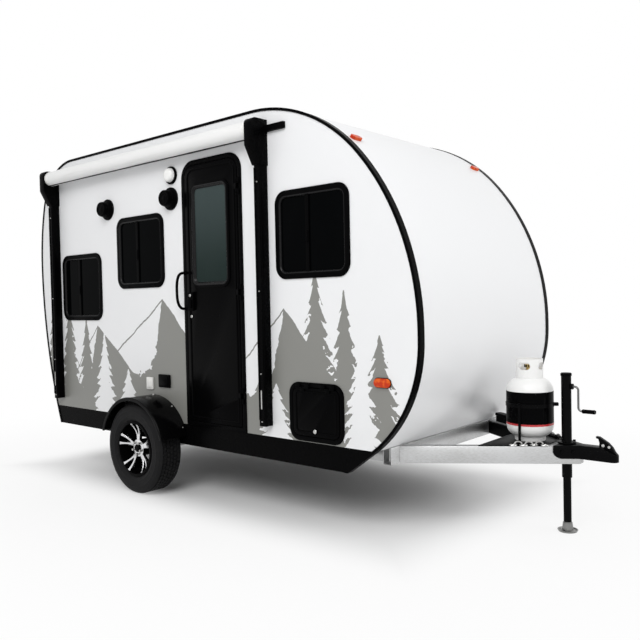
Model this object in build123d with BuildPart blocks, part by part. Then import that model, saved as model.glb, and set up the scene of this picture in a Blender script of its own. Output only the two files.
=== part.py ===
"""Small round-nosed travel trailer: cabin, chassis, wheels, tongue, jack, awning and fittings.

Millimetres. +X points to the hitch, +Y to the trailer's left, +Z up, the ground is Z = 0.
The door is on the right side, Y below 0.
"""
import os
from math import asin, atan2, cos, degrees, radians, sin, sqrt, tan
from typing import NamedTuple

from build123d import *

os.makedirs("parts", exist_ok=True)

# Cabin
BODY_WIDTH = 1680.0
ROOF_Z = 2612.0
SKIRT_BOTTOM = 366.0
SKIRT_H = 150.0
SKIRT_T = 12.0
WALL = 38.0
DECK_SINK = 4.0
TRIM_LAP = 13.0
TRIM_PROUD = 5.0
SEAM = 0.3
FAR = 9000.0
HALF = BODY_WIDTH / 2
INNER = HALF - WALL
SKIRT_TOP = SKIRT_BOTTOM + SKIRT_H
DECK_BOTTOM = SKIRT_TOP - DECK_SINK
DECK_TOP = DECK_BOTTOM + WALL

# Row of pieces along the right wall, from the rear to the nose
REAR_X = -2346.0
REAR_MARGIN = 351.0
WINDOW_W = 590.0
WINDOW_GAP = 229.0
DOOR_MARGIN = 221.5
DOOR_W = 611.0
ARM_MARGIN = 181.5
ARM_W = 60.0
ARM_TO_WINDOW = 60.0
NOSE_MARGIN = 460.0
REAR_ARM_GAP = 30.0
REAR_WINDOW_X = REAR_X + REAR_MARGIN + WINDOW_W / 2
MIDDLE_WINDOW_X = REAR_WINDOW_X + WINDOW_W + WINDOW_GAP
DOOR_X = MIDDLE_WINDOW_X + WINDOW_W / 2 + DOOR_MARGIN + DOOR_W / 2
ARM_FRONT_X = DOOR_X + DOOR_W / 2 + ARM_MARGIN + ARM_W / 2
FRONT_WINDOW_X = ARM_FRONT_X + ARM_W / 2 + ARM_TO_WINDOW + WINDOW_W / 2
FRONT_X = FRONT_WINDOW_X + WINDOW_W / 2 + NOSE_MARGIN
ARM_REAR_X = REAR_WINDOW_X - WINDOW_W / 2 - REAR_ARM_GAP - ARM_W / 2

# Side outline, arcs in order from the roof to the front and from the roof to the rear
FRONT_SHOULDER_R = 1150.0
FRONT_SHOULDER_DEG = 48.0
FRONT_CHEEK_R = 1541.6
FRONT_FLAT = 50.0
FRONT_CHIN_DEG = 54.0
CHIN_SINK = 13.0
REAR_SHOULDER_R = 480.0
REAR_SHOULDER_DEG = 74.5
REAR_UPPER_R = 1909.0
REAR_LOWER_R = 3995.0
FRONT_REACH = FRONT_CHEEK_R + (FRONT_SHOULDER_R - FRONT_CHEEK_R) * sin(radians(FRONT_SHOULDER_DEG))
FRONT_DROP = FRONT_SHOULDER_R + (FRONT_CHEEK_R - FRONT_SHOULDER_R) * cos(radians(FRONT_SHOULDER_DEG))
CHIN_TOP_Z = ROOF_Z - FRONT_DROP - FRONT_FLAT
FRONT_CHIN_R = (CHIN_TOP_Z - SKIRT_TOP + CHIN_SINK) / sin(radians(FRONT_CHIN_DEG))
REAR_REACH = REAR_UPPER_R + (REAR_SHOULDER_R - REAR_UPPER_R) * sin(radians(REAR_SHOULDER_DEG))
REAR_DROP = REAR_SHOULDER_R - (REAR_SHOULDER_R - REAR_UPPER_R) * cos(radians(REAR_SHOULDER_DEG))
REAR_BULGE_Z = ROOF_Z - REAR_DROP
ROOF_FRONT_X = FRONT_X - FRONT_REACH
ROOF_REAR_X = REAR_X + REAR_REACH

# Wheels and fenders
TYRE_R = 328.0
TYRE_W = 205.0
TYRE_GAP = 13.0
BEAD_R = 192.0
BEAD_HALF = 85.0
BEAD_T = 15.0
CARCASS_T = 16.0
CARCASS_R = 12.0
TREAD_INSET = 34.0
SHOULDER_INSET = 19.0
SIDE_INSET = 12.0
RIM_LIP = 13.0
RIM_LIP_T = 7.0
RIM_WALL = 8.0
RIM_FACE = 52.0
RIM_FACE_T = 24.0
SPOKES = 5
SPOKE_ROOT = 52.0
SPOKE_HALF = 14.0
FORK_L = 40.0
FORK_KNEE = 18.0
FORK_INNER = 30.0
FORK_OUTER = 47.0
HUB_R = 62.0
HUB_L = 120.0
HUB_PROUD = 1.0
HUB_CAP = 7.0
SPINDLE_R = 18.0
SPINDLE_GAP = 0.3
SPINDLE_REACH = 40.0
FENDER_GAP = 44.0
FENDER_T = 5.0
FENDER_LIP = 18.0
FENDER_W = 235.0
FENDER_RISE = 102.0
FENDER_TO_DOOR = 47.72
WHEEL_Z = TYRE_R
WHEEL_Y = HALF + TYRE_GAP + TYRE_W / 2
RIM_FLANGE_R = BEAD_R + RIM_LIP
FENDER_R = TYRE_R + FENDER_GAP
FENDER_OUTER_R = FENDER_R + FENDER_T
FENDER_AT_SILL = sqrt(FENDER_OUTER_R**2 - (SKIRT_TOP - WHEEL_Z) ** 2)
AXLE_X = DOOR_X - DOOR_W / 2 - FENDER_TO_DOOR - FENDER_AT_SILL

# Torsion axle
TUBE = 76.0
TUBE_TRAIL = 150.0
TUBE_PAD = 6.0
TUBE_INSET = 80.0
TRAIL_ARM_T = 55.0
TRAIL_ARM_HALF = 32.0
PAD_L = 120.0
PAD_W = 60.0

# Windows
WINDOW_H = 550.0
WINDOW_R = 84.0
REAR_WINDOW_DROP = 1076.0
MIDDLE_WINDOW_DROP = 830.0
FRONT_WINDOW_DROP = 817.0
FLANGE = 38.0
FLANGE_LAP = 22.0
FLANGE_T = 8.0
PANE_T = 5.0
PANE_SETBACK = 1.0
PANE_GAP = 1.0
PANE_LAP = 4.0
MULLION_W = 28.0
MULLION_SHIFT = -28.0

# Entry door
DOOR_DROP = 230.0
DOOR_R = 122.0
DOOR_STILE = 32.0
DOOR_LAP = 16.0
DOOR_GAP = 5.0
DOOR_T = 38.0
DOOR_PROUD = 10.0
SILL_H = 30.0
HINGE_OUT = 18.0
HINGE_LEAF = 22.0
HINGE_SEAT = 3.0
KNUCKLE_R = 5.0
KNUCKLE_L = 36.0
KNUCKLE_GAP = 0.5
DOOR_GLASS_W = 340.0
DOOR_GLASS_H = 672.0
DOOR_GLASS_R = 42.0
DOOR_GLASS_SHIFT = -10.0
DOOR_GLASS_DROP = 528.0
DOOR_GLASS_SINK = 8.0
DOOR_BORDER = 30.0
BORDER_PROUD = 8.0
TOP_HINGE_DROP = 232.0
MIDDLE_HINGE_DROP = 932.0
LOW_HINGE_RISE = 244.0
DOOR_TOP = ROOF_Z - DOOR_DROP
DOOR_SILL = SKIRT_TOP + SILL_H
LEAF_W = DOOR_W - 2 * (DOOR_STILE + DOOR_GAP)
LEAF_TOP = DOOR_TOP - DOOR_STILE - DOOR_GAP
LEAF_LOW = DOOR_SILL + DOOR_GAP
LEAF_R = DOOR_R - DOOR_STILE - DOOR_GAP
DOOR_GLASS_X = DOOR_X + DOOR_GLASS_SHIFT
DOOR_GLASS_Z = DOOR_TOP - DOOR_GLASS_DROP
DOOR_AXIS_X = DOOR_X + LEAF_W / 2
HINGE_Y = -(HALF + HINGE_OUT)
DOOR_HINGES = (SKIRT_TOP + LOW_HINGE_RISE, DOOR_TOP - MIDDLE_HINGE_DROP, DOOR_TOP - TOP_HINGE_DROP)
KNUCKLE_STEP = KNUCKLE_L + KNUCKLE_GAP

# Door latch and grab handle
LATCH_W = 64.0
LATCH_H = 130.0
LATCH_R = 12.0
LATCH_T = 14.0
LATCH_INSET = 48.0
LATCH_GAP = 28.0
PADDLE_W = 40.0
PADDLE_H = 60.0
PADDLE_R = 8.0
PADDLE_T = 12.0
PADDLE_SINK = 17.0
GRAB_R = 10.0
GRAB_BEND = 62.0
GRAB_REACH = 76.0
GRAB_L = 255.0
GRAB_SINK = 50.0
GRAB_FOOT_R = 15.0
GRAB_FOOT_T = 6.0
LATCH_X = DOOR_X - LEAF_W / 2 + LATCH_INSET
LATCH_Z = DOOR_GLASS_Z - DOOR_GLASS_H / 2 - DOOR_BORDER - LATCH_GAP - LATCH_H / 2
GRAB_X = DOOR_X - DOOR_W / 2 + DOOR_STILE / 2
GRAB_Y = -(HALF + FLANGE_T)
GRAB_LOW = LATCH_Z - GRAB_SINK
GRAB_HIGH = GRAB_LOW + GRAB_L

# Storage hatch
HATCH_SHIFT = 11.0
HATCH_RISE = 6.0
HATCH_W = 432.0
HATCH_H = 362.0
HATCH_R = 78.0
HATCH_STILE = 28.0
HATCH_LAP = 14.0
HATCH_T = 24.0
HATCH_HINGE_INSET = 83.0
HATCH_LOCK_R = 15.0
HATCH_LOCK_RISE = 34.0
HATCH_LOCK_T = 8.0
HATCH_X = FRONT_WINDOW_X + HATCH_SHIFT
HATCH_Z = SKIRT_TOP + HATCH_RISE + HATCH_H / 2
HATCH_LEAF_W = HATCH_W - 2 * (HATCH_STILE + DOOR_GAP)
HATCH_LEAF_H = HATCH_H - 2 * (HATCH_STILE + DOOR_GAP)
HATCH_LEAF_R = HATCH_R - HATCH_STILE - DOOR_GAP
HATCH_AXIS_Z = HATCH_Z + HATCH_LEAF_H / 2
HATCH_HINGE_X = HATCH_LEAF_W / 2 - HATCH_HINGE_INSET
HATCH_HINGES = (HATCH_X - HATCH_HINGE_X, HATCH_X + HATCH_HINGE_X)

# Speakers, porch light and side markers
SPEAKER_R = 82.0
SPEAKER_T = 14.0
DOME_R = 64.0
DOME_T = 58.0
DOME_TAPER = 10.0
SPEAKER_DROP = 470.0
SPEAKER_REAR_GAP = 118.0
SPEAKER_FRONT_GAP = 92.0
PORCH_R = 64.0
PORCH_T = 16.0
LENS_R = 52.0
LENS_T = 34.0
LENS_TAPER = 18.0
PORCH_DROP = 303.0
PORCH_GAP = 105.0
MARKER_L = 118.0
MARKER_H = 58.0
MARKER_T = 20.0
MARKER_SETBACK = 203.5
MARKER_RISE = 397.0
COVER_T = 16.0
COVER_R = 8.0
SPEAKERS = (
    MIDDLE_WINDOW_X - WINDOW_W / 2 - SPEAKER_REAR_GAP,
    MIDDLE_WINDOW_X + WINDOW_W / 2 + SPEAKER_FRONT_GAP,
)
SPEAKER_Z = ROOF_Z - SPEAKER_DROP
PORCH_X = MIDDLE_WINDOW_X + WINDOW_W / 2 + PORCH_GAP
PORCH_Z = ROOF_Z - PORCH_DROP
MARKER_Z = SKIRT_TOP + MARKER_RISE

# Lamps and the plate on the curved skins
LAMP_L = 94.0
LAMP_W = 38.0
LAMP_PROUD = 18.0
LAMP_SINK = 12.0
LAMP_DEG = 40.84
LAMP_INSET = 118.0
REAR_LAMP_RISE = 440.0
REAR_LAMP_INSET = 200.0
TAIL_W = 150.0
TAIL_H = 210.0
TAIL_R = 40.0
TAIL_RISE = 484.0
TAIL_INSET = 180.0
TAIL_PROUD = 40.0
PLATE_W = 330.0
PLATE_H = 180.0
PLATE_R = 12.0
PLATE_RISE = 304.0
PLATE_PROUD = 26.0
SKIN_DEPTH = 160.0
LAMP_X = ROOF_FRONT_X + FRONT_SHOULDER_R * sin(radians(LAMP_DEG))
LAMP_Z = ROOF_Z - FRONT_SHOULDER_R * (1 - cos(radians(LAMP_DEG)))

# Chassis, tongue and coupler
RAIL_H = 102.0
RAIL_W = 50.0
RAIL_INSET = 240.0
BEAM_SETBACK = 307.0
BEAM_W = 60.0
BEAM_INSET = 150.0
BEAM_WALL = 5.0
BEAM_BORE = 60.0
CHASSIS_MARGIN = 290.0
CROSS_BEHIND = 420.0
CROSS_AHEAD = 560.0
CROSS_FRONT = 730.0
TONGUE_REACH = 548.0
TONGUE_INSET = 87.3
TIP_HALF = 26.0
TIP_GAP = 2.0
COUPLER_T = 6.0
COUPLER_H = 77.0
COUPLER_REAR_L = 123.0
COUPLER_HEEL_R = 44.0
NOSE_L = 205.0
NOSE_HALF = 36.0
NOSE_FALL_L = 82.0
NOSE_TIP_H = 36.0
BALL_SETBACK = 52.0
BALL_R = 26.0
BALL_SINK = 22.0
LEVER_W = 28.0
LEVER_T = 4.0
LEVER_SETBACK = 5.0
LEVER_HEEL = 99.0
LEVER_LINE = ((16, -23), (32, 5), (55, 28), (103, 57), (121, 59), (119, 49), (107, 46), (101, 24), (103, 5))
LEVER_HOLES = ((80, 11, 7), (47, 6, 6))
RAIL_TOP = DECK_BOTTOM
RAIL_LOW = RAIL_TOP - RAIL_H
RAIL_Y = HALF - RAIL_INSET
BEAM_FRONT = FRONT_X - BEAM_SETBACK
BEAM_HALF = HALF - BEAM_INSET
CHASSIS_REAR = REAR_X + CHASSIS_MARGIN
CHASSIS_FRONT = BEAM_FRONT - BEAM_W
TONGUE_TIP_X = FRONT_X + TONGUE_REACH
TONGUE_ANGLE = atan2(BEAM_HALF - TONGUE_INSET - TIP_HALF, TONGUE_TIP_X - BEAM_FRONT)
COUPLER_TOP = RAIL_TOP + COUPLER_T
COUPLER_LOW = COUPLER_TOP - COUPLER_H
COUPLER_REAR = TONGUE_TIP_X - COUPLER_REAR_L
NOSE_X = TONGUE_TIP_X + NOSE_L
BALL_X = NOSE_X - BALL_SETBACK

# Jack
JACK_SETBACK = 88.0
JACK_R = 28.5
JACK_HOLE = 30.0
JACK_LOW = 318.0
JACK_H = 600.0
JACK_WALL = 3.0
BUSH_L = 40.0
CAP_T = 8.0
CAP_LAP = 2.0
JACK_FLANGE_R = 52.0
JACK_FLANGE_T = 10.0
BOSS_R = 17.0
BOSS_L = 12.5
LEG_R = 22.5
LEG_GAP = 0.3
LEG_LOW = 30.0
LEG_L = 610.0
FOOT_R = 58.0
FOOT_H = 52.0
FOOT_DISH = 10.0
FOOT_NECK_R = 27.0
FOOT_ROOT_R = 32.0
CRANK_DROP = 140.0
CRANK_SINK = 66.0
CRANK_R = 6.0
CRANK_BEND = 20.0
CRANK_STUB = 9.5
GRIP_R = 11.0
GRIP_L = 70.0
JACK_X = TONGUE_TIP_X - JACK_SETBACK
JACK_TOP = JACK_LOW + JACK_H
CRANK_Z = JACK_TOP - CRANK_SINK

# Gas cylinder
TANK_R = 137.0
TANK_T = 5.0
TANK_TO_JACK = 58.5
TANK_FOOT_R = 84.0
TANK_FOOT_H = 40.0
TANK_FOOT_T = 6.0
TANK_FLOOR = 22.0
TANK_FLOOR_R = 70.0
TANK_SIDE_LOW = 92.0
TANK_SIDE_L = 205.0
TANK_CROWN = 378.0
TANK_CROWN_R = 50.0
CROWN_SINK = 4.0
COLLAR_R = 74.0
COLLAR_T = 5.0
COLLAR_LOW = 350.0
COLLAR_TOP = 488.0
HAND_HOLE_Z = 446.0
HAND_HOLE_W = 72.0
HAND_HOLE_H = 42.0
VALVE_R = 19.0
VALVE_H = 58.0
HANDWHEEL_R = 28.0
HANDWHEEL_T = 18.0
OUTLET_R = 14.0
OUTLET_L = 56.0
OUTLET_RISE = 32.0
TRAY_T = 6.0
TRAY_REAR = 165.0
TRAY_FRONT = 150.0
TANK_X = JACK_X - JACK_R - TANK_TO_JACK - TANK_R
TANK_Z = RAIL_TOP + TRAY_T

# Awning
ROLL_R = 60.0
ROLL_OUT = 76.0
ROLL_DROP = 144.0
ARM_D = 70.0
ARM_R = 10.0
ARM_RISE = 74.0
HEAD_D = 142.0
HEAD_H = 287.0
HEAD_DROP = 80.0
HEAD_R = 40.0
HEAD_CHEEK = 120.0
HEAD_LAP = 3.0
HEAD_STEP = 8.0
BRACKET_L = 160.0
BRACKET_T = 22.0
BRACKET_H = 40.0
BRACKET_DROP = 137.0
ARM_LOW = SKIRT_TOP + ARM_RISE
ROLL_Y = -(HALF + ROLL_OUT)
ROLL_Z = ROOF_Z - ROLL_DROP
HEAD_TOP = ROOF_Z - HEAD_DROP
HEAD_LOW = HEAD_TOP - HEAD_H

# Roof vent
VENT_SETBACK = 120.0
VENT_HOLE = 360.0
VENT_W = 400.0
VENT_H = 28.0
VENT_LIP = 15.0
LID_W = 420.0
LID_H = 45.0
LID_T = 5.0
LID_R = 30.0
LID_TAPER = 12.0
LID_GAP = 5.0
LUG_SPREAD = 120.0
LUG_L = 26.0
LUG_W = 40.0
VENT_KNUCKLE_R = 4.0
VENT_KNUCKLE_L = 17.5
VENT_X = AXLE_X - VENT_SETBACK
LID_LOW = ROOF_Z + VENT_H + LID_GAP
VENT_AXIS_X = VENT_X + LID_W / 2 + VENT_KNUCKLE_R + 1
VENT_AXIS_Z = LID_LOW + VENT_KNUCKLE_R
VENT_STEP = (VENT_KNUCKLE_L + KNUCKLE_GAP) / 2


class Side(NamedTuple):
    name: str
    sign: int


class Window(NamedTuple):
    x: float
    drop: float


class Cover(NamedTuple):
    side: int
    ahead: float
    above: float
    width: float
    height: float


class Arm(NamedTuple):
    name: str
    x: float
    bracket: float


SIDES = (Side("right", -1), Side("left", 1))
REAR_WINDOW = Window(REAR_WINDOW_X, REAR_WINDOW_DROP)
MIDDLE_WINDOW = Window(MIDDLE_WINDOW_X, MIDDLE_WINDOW_DROP)
FRONT_WINDOW = Window(FRONT_WINDOW_X, FRONT_WINDOW_DROP)
WINDOWS = {"right": (REAR_WINDOW, MIDDLE_WINDOW, FRONT_WINDOW), "left": (REAR_WINDOW, FRONT_WINDOW)}
ARMS = (Arm("front", ARM_FRONT_X, BRACKET_L), Arm("rear", ARM_REAR_X, 0.0))

# Service covers, each from the axle and from the fender's top
COVERS = (
    Cover(-1, -54.0, 82.0, 74.0, 92.0),
    Cover(-1, 123.0, 108.0, 132.0, 96.0),
    Cover(1, -500.0, 55.0, 150.0, 150.0),
    Cover(1, 520.0, 95.0, 360.0, 240.0),
)


def save(part, name):
    """Label one sub-part and write its STEP file."""
    part.label = name
    export_step(part, f"parts/{name}.step")


def side_plane(sign, proud=0.0):
    """Drawing plane on a side wall's outer face: local x is X, local y is Z."""
    return Plane.XZ.offset(-sign * (HALF + proud))


def outline(y, inset, low=SKIRT_BOTTOM, high=ROOF_Z + WALL, rear=-FAR, front=FAR):
    """Side outline of the cabin at Y = y, moved in by inset and kept between the four limits."""
    with BuildSketch(Plane.XZ.offset(-y)) as sketch:
        with BuildLine():
            roof = Line((ROOF_REAR_X, ROOF_Z - inset), (ROOF_FRONT_X, ROOF_Z - inset))
            brow = JernArc(roof @ 1, roof % 1, FRONT_SHOULDER_R - inset, -FRONT_SHOULDER_DEG)
            cheek = JernArc(brow @ 1, brow % 1, FRONT_CHEEK_R - inset, FRONT_SHOULDER_DEG - 90)
            flat = Line(cheek @ 1, cheek @ 1 - Vector(0, FRONT_FLAT))
            chin = JernArc(flat @ 1, flat % 1, FRONT_CHIN_R - inset, -FRONT_CHIN_DEG)
            run = ((chin @ 1).Y - SKIRT_BOTTOM) / cos(radians(FRONT_CHIN_DEG))
            tip = Line(chin @ 1, chin @ 1 + (chin % 1) * run)
            shoulder = JernArc(roof @ 0, (-1, 0), REAR_SHOULDER_R - inset, REAR_SHOULDER_DEG)
            upper = JernArc(shoulder @ 1, shoulder % 1, REAR_UPPER_R - inset, 90 - REAR_SHOULDER_DEG)
            sweep_deg = degrees(asin((REAR_BULGE_Z - SKIRT_BOTTOM) / (REAR_LOWER_R - inset)))
            lower = JernArc(upper @ 1, (0, -1), REAR_LOWER_R - inset, sweep_deg)
            Line(lower @ 1, tip @ 1)
        make_face()
        if low > SKIRT_BOTTOM:
            with Locations((0, low)):
                Rectangle(FAR, FAR, align=(Align.CENTER, Align.MAX), mode=Mode.SUBTRACT)
        if high < ROOF_Z:
            with Locations((0, high)):
                Rectangle(FAR, FAR, align=(Align.CENTER, Align.MIN), mode=Mode.SUBTRACT)
        if rear > -FAR:
            with Locations((rear, 0)):
                Rectangle(FAR, FAR, align=(Align.MAX, Align.CENTER), mode=Mode.SUBTRACT)
        if front < FAR:
            with Locations((front, 0)):
                Rectangle(FAR, FAR, align=(Align.MIN, Align.CENTER), mode=Mode.SUBTRACT)
    return sketch.sketch


def trim_band(sign, lap, proud):
    """Band around one side's outline, lapping the wall's face and standing proud of it."""
    with BuildPart() as band:
        extrude(outline(sign * (HALF + proud), -proud), amount=sign * (WALL + proud))
        extrude(outline(sign * (HALF + proud), lap), amount=sign * (WALL + proud), mode=Mode.SUBTRACT)
    return band.part


def arched(plane, x, low, high, width, radius):
    """Upright panel outline with two round top corners."""
    with BuildSketch(plane) as sketch:
        with BuildLine():
            left = Line((x - width / 2, low), (x - width / 2, high - radius))
            first = JernArc(left @ 1, (0, 1), radius, -90)
            top = Line(first @ 1, (x + width / 2 - radius, high))
            second = JernArc(top @ 1, (1, 0), radius, -90)
            right = Line(second @ 1, (x + width / 2, low))
            Line(right @ 1, left @ 0)
        make_face()
    return sketch.sketch


def front_skin(z):
    """Station of the front skin at height z, from the flat down to the chin."""
    below = max(CHIN_TOP_Z - z, 0.0)
    return FRONT_X - FRONT_CHIN_R + sqrt(FRONT_CHIN_R**2 - below**2)


def rear_skin(z):
    """Station of the rear skin at height z."""
    radius = REAR_UPPER_R if z > REAR_BULGE_Z else REAR_LOWER_R
    return REAR_X + radius - sqrt(radius**2 - (z - REAR_BULGE_Z) ** 2)


def tongue_edge(x):
    """Distance from the centre plane to a tongue rail's outer edge at station x."""
    return TIP_HALF + (TONGUE_TIP_X - x) * tan(TONGUE_ANGLE)


def nose_top(setback):
    """Height of the coupler's sloped nose at a distance behind its tip."""
    return COUPLER_LOW + NOSE_TIP_H + (COUPLER_H - NOSE_TIP_H) * setback / NOSE_FALL_L


def tyre_height(share):
    """Radius at a share of the tyre's section height above the rim flange."""
    return RIM_FLANGE_R + share * (TYRE_R - RIM_FLANGE_R)


# Side walls with the openings cut, the skirts below them and the trim around both
for side in SIDES:
    plane = side_plane(side.sign)
    with BuildPart() as wall:
        extrude(outline(side.sign * HALF, TRIM_LAP + SEAM, low=SKIRT_TOP), amount=side.sign * WALL)
        with BuildSketch(plane):
            with Locations(*[(window.x, ROOF_Z - window.drop) for window in WINDOWS[side.name]]):
                RectangleRounded(WINDOW_W - 2 * FLANGE_LAP, WINDOW_H - 2 * FLANGE_LAP, WINDOW_R - FLANGE_LAP)
            if side.name == "right":
                with Locations((HATCH_X, HATCH_Z)):
                    RectangleRounded(HATCH_W - 2 * HATCH_LAP, HATCH_H - 2 * HATCH_LAP, HATCH_R - HATCH_LAP)
        extrude(amount=side.sign * WALL, mode=Mode.SUBTRACT)
        if side.name == "right":
            opening = arched(
                plane, DOOR_X, SKIRT_BOTTOM, DOOR_TOP - DOOR_LAP, DOOR_W - 2 * DOOR_LAP, DOOR_R - DOOR_LAP
            )
            extrude(opening, amount=side.sign * WALL, mode=Mode.SUBTRACT)
    save(wall.part, f"side_wall_{side.name}")

    with BuildPart() as skirt:
        extrude(outline(side.sign * HALF, TRIM_LAP + SEAM, high=SKIRT_TOP), amount=side.sign * SKIRT_T)
    save(skirt.part, f"skirt_{side.name}")

    save(trim_band(side.sign, TRIM_LAP, TRIM_PROUD), f"edge_trim_{side.name}")

# Skins that wrap over the cabin between the side walls
with BuildPart() as front_panel:
    extrude(outline(-INNER, 0, low=DECK_BOTTOM, rear=ROOF_FRONT_X), amount=-2 * INNER)
    extrude(outline(-INNER, WALL, rear=ROOF_FRONT_X - WALL), amount=-2 * INNER, mode=Mode.SUBTRACT)
save(front_panel.part, "front_panel")

with BuildPart() as rear_panel:
    extrude(outline(-INNER, 0, low=DECK_BOTTOM, front=ROOF_REAR_X), amount=-2 * INNER)
    extrude(outline(-INNER, WALL, front=ROOF_REAR_X + WALL), amount=-2 * INNER, mode=Mode.SUBTRACT)
save(rear_panel.part, "rear_panel")

with BuildPart() as roof_panel:
    with BuildSketch(Plane.XY.offset(ROOF_Z - WALL)):
        with Locations(((ROOF_FRONT_X + ROOF_REAR_X) / 2, 0)):
            Rectangle(ROOF_FRONT_X - ROOF_REAR_X, 2 * INNER)
        with Locations((VENT_X, 0)):
            Rectangle(VENT_HOLE, VENT_HOLE, mode=Mode.SUBTRACT)
    extrude(amount=WALL)
save(roof_panel.part, "roof_panel")

with BuildPart() as floor_deck:
    extrude(outline(-INNER, WALL + SEAM, low=DECK_BOTTOM, high=DECK_TOP), amount=-2 * INNER)
save(floor_deck.part, "floor_deck")

# Window frames with their centre bars, and a fixed and a sliding pane in each
OPEN_W = WINDOW_W - 2 * FLANGE
OPEN_H = WINDOW_H - 2 * FLANGE
PANE_CUT_W = OPEN_W / 2 + abs(MULLION_SHIFT) + MULLION_W
OPEN_R = WINDOW_R - FLANGE
SPIGOT_LAP = FLANGE_LAP + SEAM
for side in SIDES:
    plane = side_plane(side.sign)
    spots = [(window.x, ROOF_Z - window.drop) for window in WINDOWS[side.name]]
    bars = [(x + MULLION_SHIFT, z) for x, z in spots]
    with BuildPart() as frames:
        with BuildSketch(plane):
            with Locations(*spots):
                RectangleRounded(WINDOW_W, WINDOW_H, WINDOW_R)
                RectangleRounded(OPEN_W, OPEN_H, OPEN_R, mode=Mode.SUBTRACT)
            with Locations(*bars):
                Rectangle(MULLION_W, OPEN_H + FLANGE)
        extrude(amount=-side.sign * FLANGE_T)
        with BuildSketch(plane):
            with Locations(*spots):
                RectangleRounded(WINDOW_W - 2 * SPIGOT_LAP, WINDOW_H - 2 * SPIGOT_LAP, WINDOW_R - SPIGOT_LAP)
                RectangleRounded(OPEN_W, OPEN_H, OPEN_R, mode=Mode.SUBTRACT)
        extrude(amount=side.sign * WALL)
    save(frames.part, f"window_frames_{side.name}")

    with BuildPart() as glass:
        for end, depth in ((1, PANE_SETBACK), (-1, PANE_SETBACK + PANE_T + PANE_GAP)):
            with BuildSketch(side_plane(side.sign, -depth)):
                with Locations(*spots):
                    RectangleRounded(OPEN_W - 2 * SEAM, OPEN_H - 2 * SEAM, OPEN_R - SEAM)
                with Locations(*[(x - end * (MULLION_W / 2 - PANE_LAP), z) for x, z in bars]):
                    keep = Align.MAX if end > 0 else Align.MIN
                    Rectangle(PANE_CUT_W, OPEN_H, align=(keep, Align.CENTER), mode=Mode.SUBTRACT)
            extrude(amount=side.sign * PANE_T)
    save(glass.part, f"window_glass_{side.name}")

# Entry door: frame with hinge knuckles, leaf, glass, latch and the grab handle on the frame
right = side_plane(-1)
leaf_plane = side_plane(-1, DOOR_PROUD)
hinge_plane = side_plane(-1, HINGE_OUT)
FRAME_LAP = DOOR_LAP + SEAM
with BuildPart() as door_frame:
    extrude(arched(right, DOOR_X, SKIRT_TOP, DOOR_TOP, DOOR_W, DOOR_R), amount=FLANGE_T)
    lining = arched(
        right, DOOR_X, SKIRT_TOP, DOOR_TOP - FRAME_LAP, DOOR_W - 2 * FRAME_LAP, DOOR_R - FRAME_LAP
    )
    extrude(lining, amount=-WALL)
    doorway = arched(
        hinge_plane, DOOR_X, DOOR_SILL, DOOR_TOP - DOOR_STILE, DOOR_W - 2 * DOOR_STILE, DOOR_R - DOOR_STILE
    )
    extrude(doorway, amount=-HINGE_OUT - WALL, mode=Mode.SUBTRACT)
    for hinge_z in DOOR_HINGES:
        for step in (-KNUCKLE_STEP, KNUCKLE_STEP):
            with Locations((DOOR_AXIS_X, HINGE_Y, hinge_z + step)):
                Cylinder(KNUCKLE_R, KNUCKLE_L)
            with Locations((DOOR_AXIS_X + HINGE_SEAT, -HALF - FLANGE_T, hinge_z + step)):
                Box(HINGE_LEAF, HINGE_OUT - FLANGE_T, KNUCKLE_L, align=(Align.MIN, Align.MAX, Align.CENTER))
save(door_frame.part, "door_frame")

with BuildPart() as entry_door:
    extrude(arched(leaf_plane, DOOR_X, LEAF_LOW, LEAF_TOP, LEAF_W, LEAF_R), amount=-DOOR_T)
    with BuildSketch(leaf_plane):
        with Locations((DOOR_GLASS_X, DOOR_GLASS_Z)):
            RectangleRounded(
                DOOR_GLASS_W + 2 * DOOR_BORDER, DOOR_GLASS_H + 2 * DOOR_BORDER, DOOR_GLASS_R + DOOR_BORDER
            )
    extrude(amount=BORDER_PROUD)
    with BuildSketch(side_plane(-1, DOOR_PROUD + BORDER_PROUD)):
        with Locations((DOOR_GLASS_X, DOOR_GLASS_Z)):
            RectangleRounded(DOOR_GLASS_W, DOOR_GLASS_H, DOOR_GLASS_R)
    extrude(amount=-DOOR_T - BORDER_PROUD, mode=Mode.SUBTRACT)
    for hinge_z in DOOR_HINGES:
        with Locations((DOOR_AXIS_X, HINGE_Y, hinge_z)):
            Cylinder(KNUCKLE_R, KNUCKLE_L)
            Box(HINGE_LEAF, HINGE_OUT - DOOR_PROUD, KNUCKLE_L, align=(Align.MAX, Align.MIN, Align.CENTER))
save(entry_door.part, "entry_door")

with BuildPart() as door_glass:
    with BuildSketch(side_plane(-1, DOOR_PROUD - DOOR_GLASS_SINK)):
        with Locations((DOOR_GLASS_X, DOOR_GLASS_Z)):
            RectangleRounded(DOOR_GLASS_W - 2 * SEAM, DOOR_GLASS_H - 2 * SEAM, DOOR_GLASS_R - SEAM)
    extrude(amount=-PANE_T)
save(door_glass.part, "door_glass")

with BuildPart() as door_latch:
    with BuildSketch(leaf_plane):
        with Locations((LATCH_X, LATCH_Z)):
            RectangleRounded(LATCH_W, LATCH_H, LATCH_R)
    extrude(amount=LATCH_T)
    with BuildSketch(side_plane(-1, DOOR_PROUD + LATCH_T)):
        with Locations((LATCH_X, LATCH_Z - PADDLE_SINK)):
            RectangleRounded(PADDLE_W, PADDLE_H, PADDLE_R)
    extrude(amount=PADDLE_T)
save(door_latch.part, "door_latch")

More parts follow.
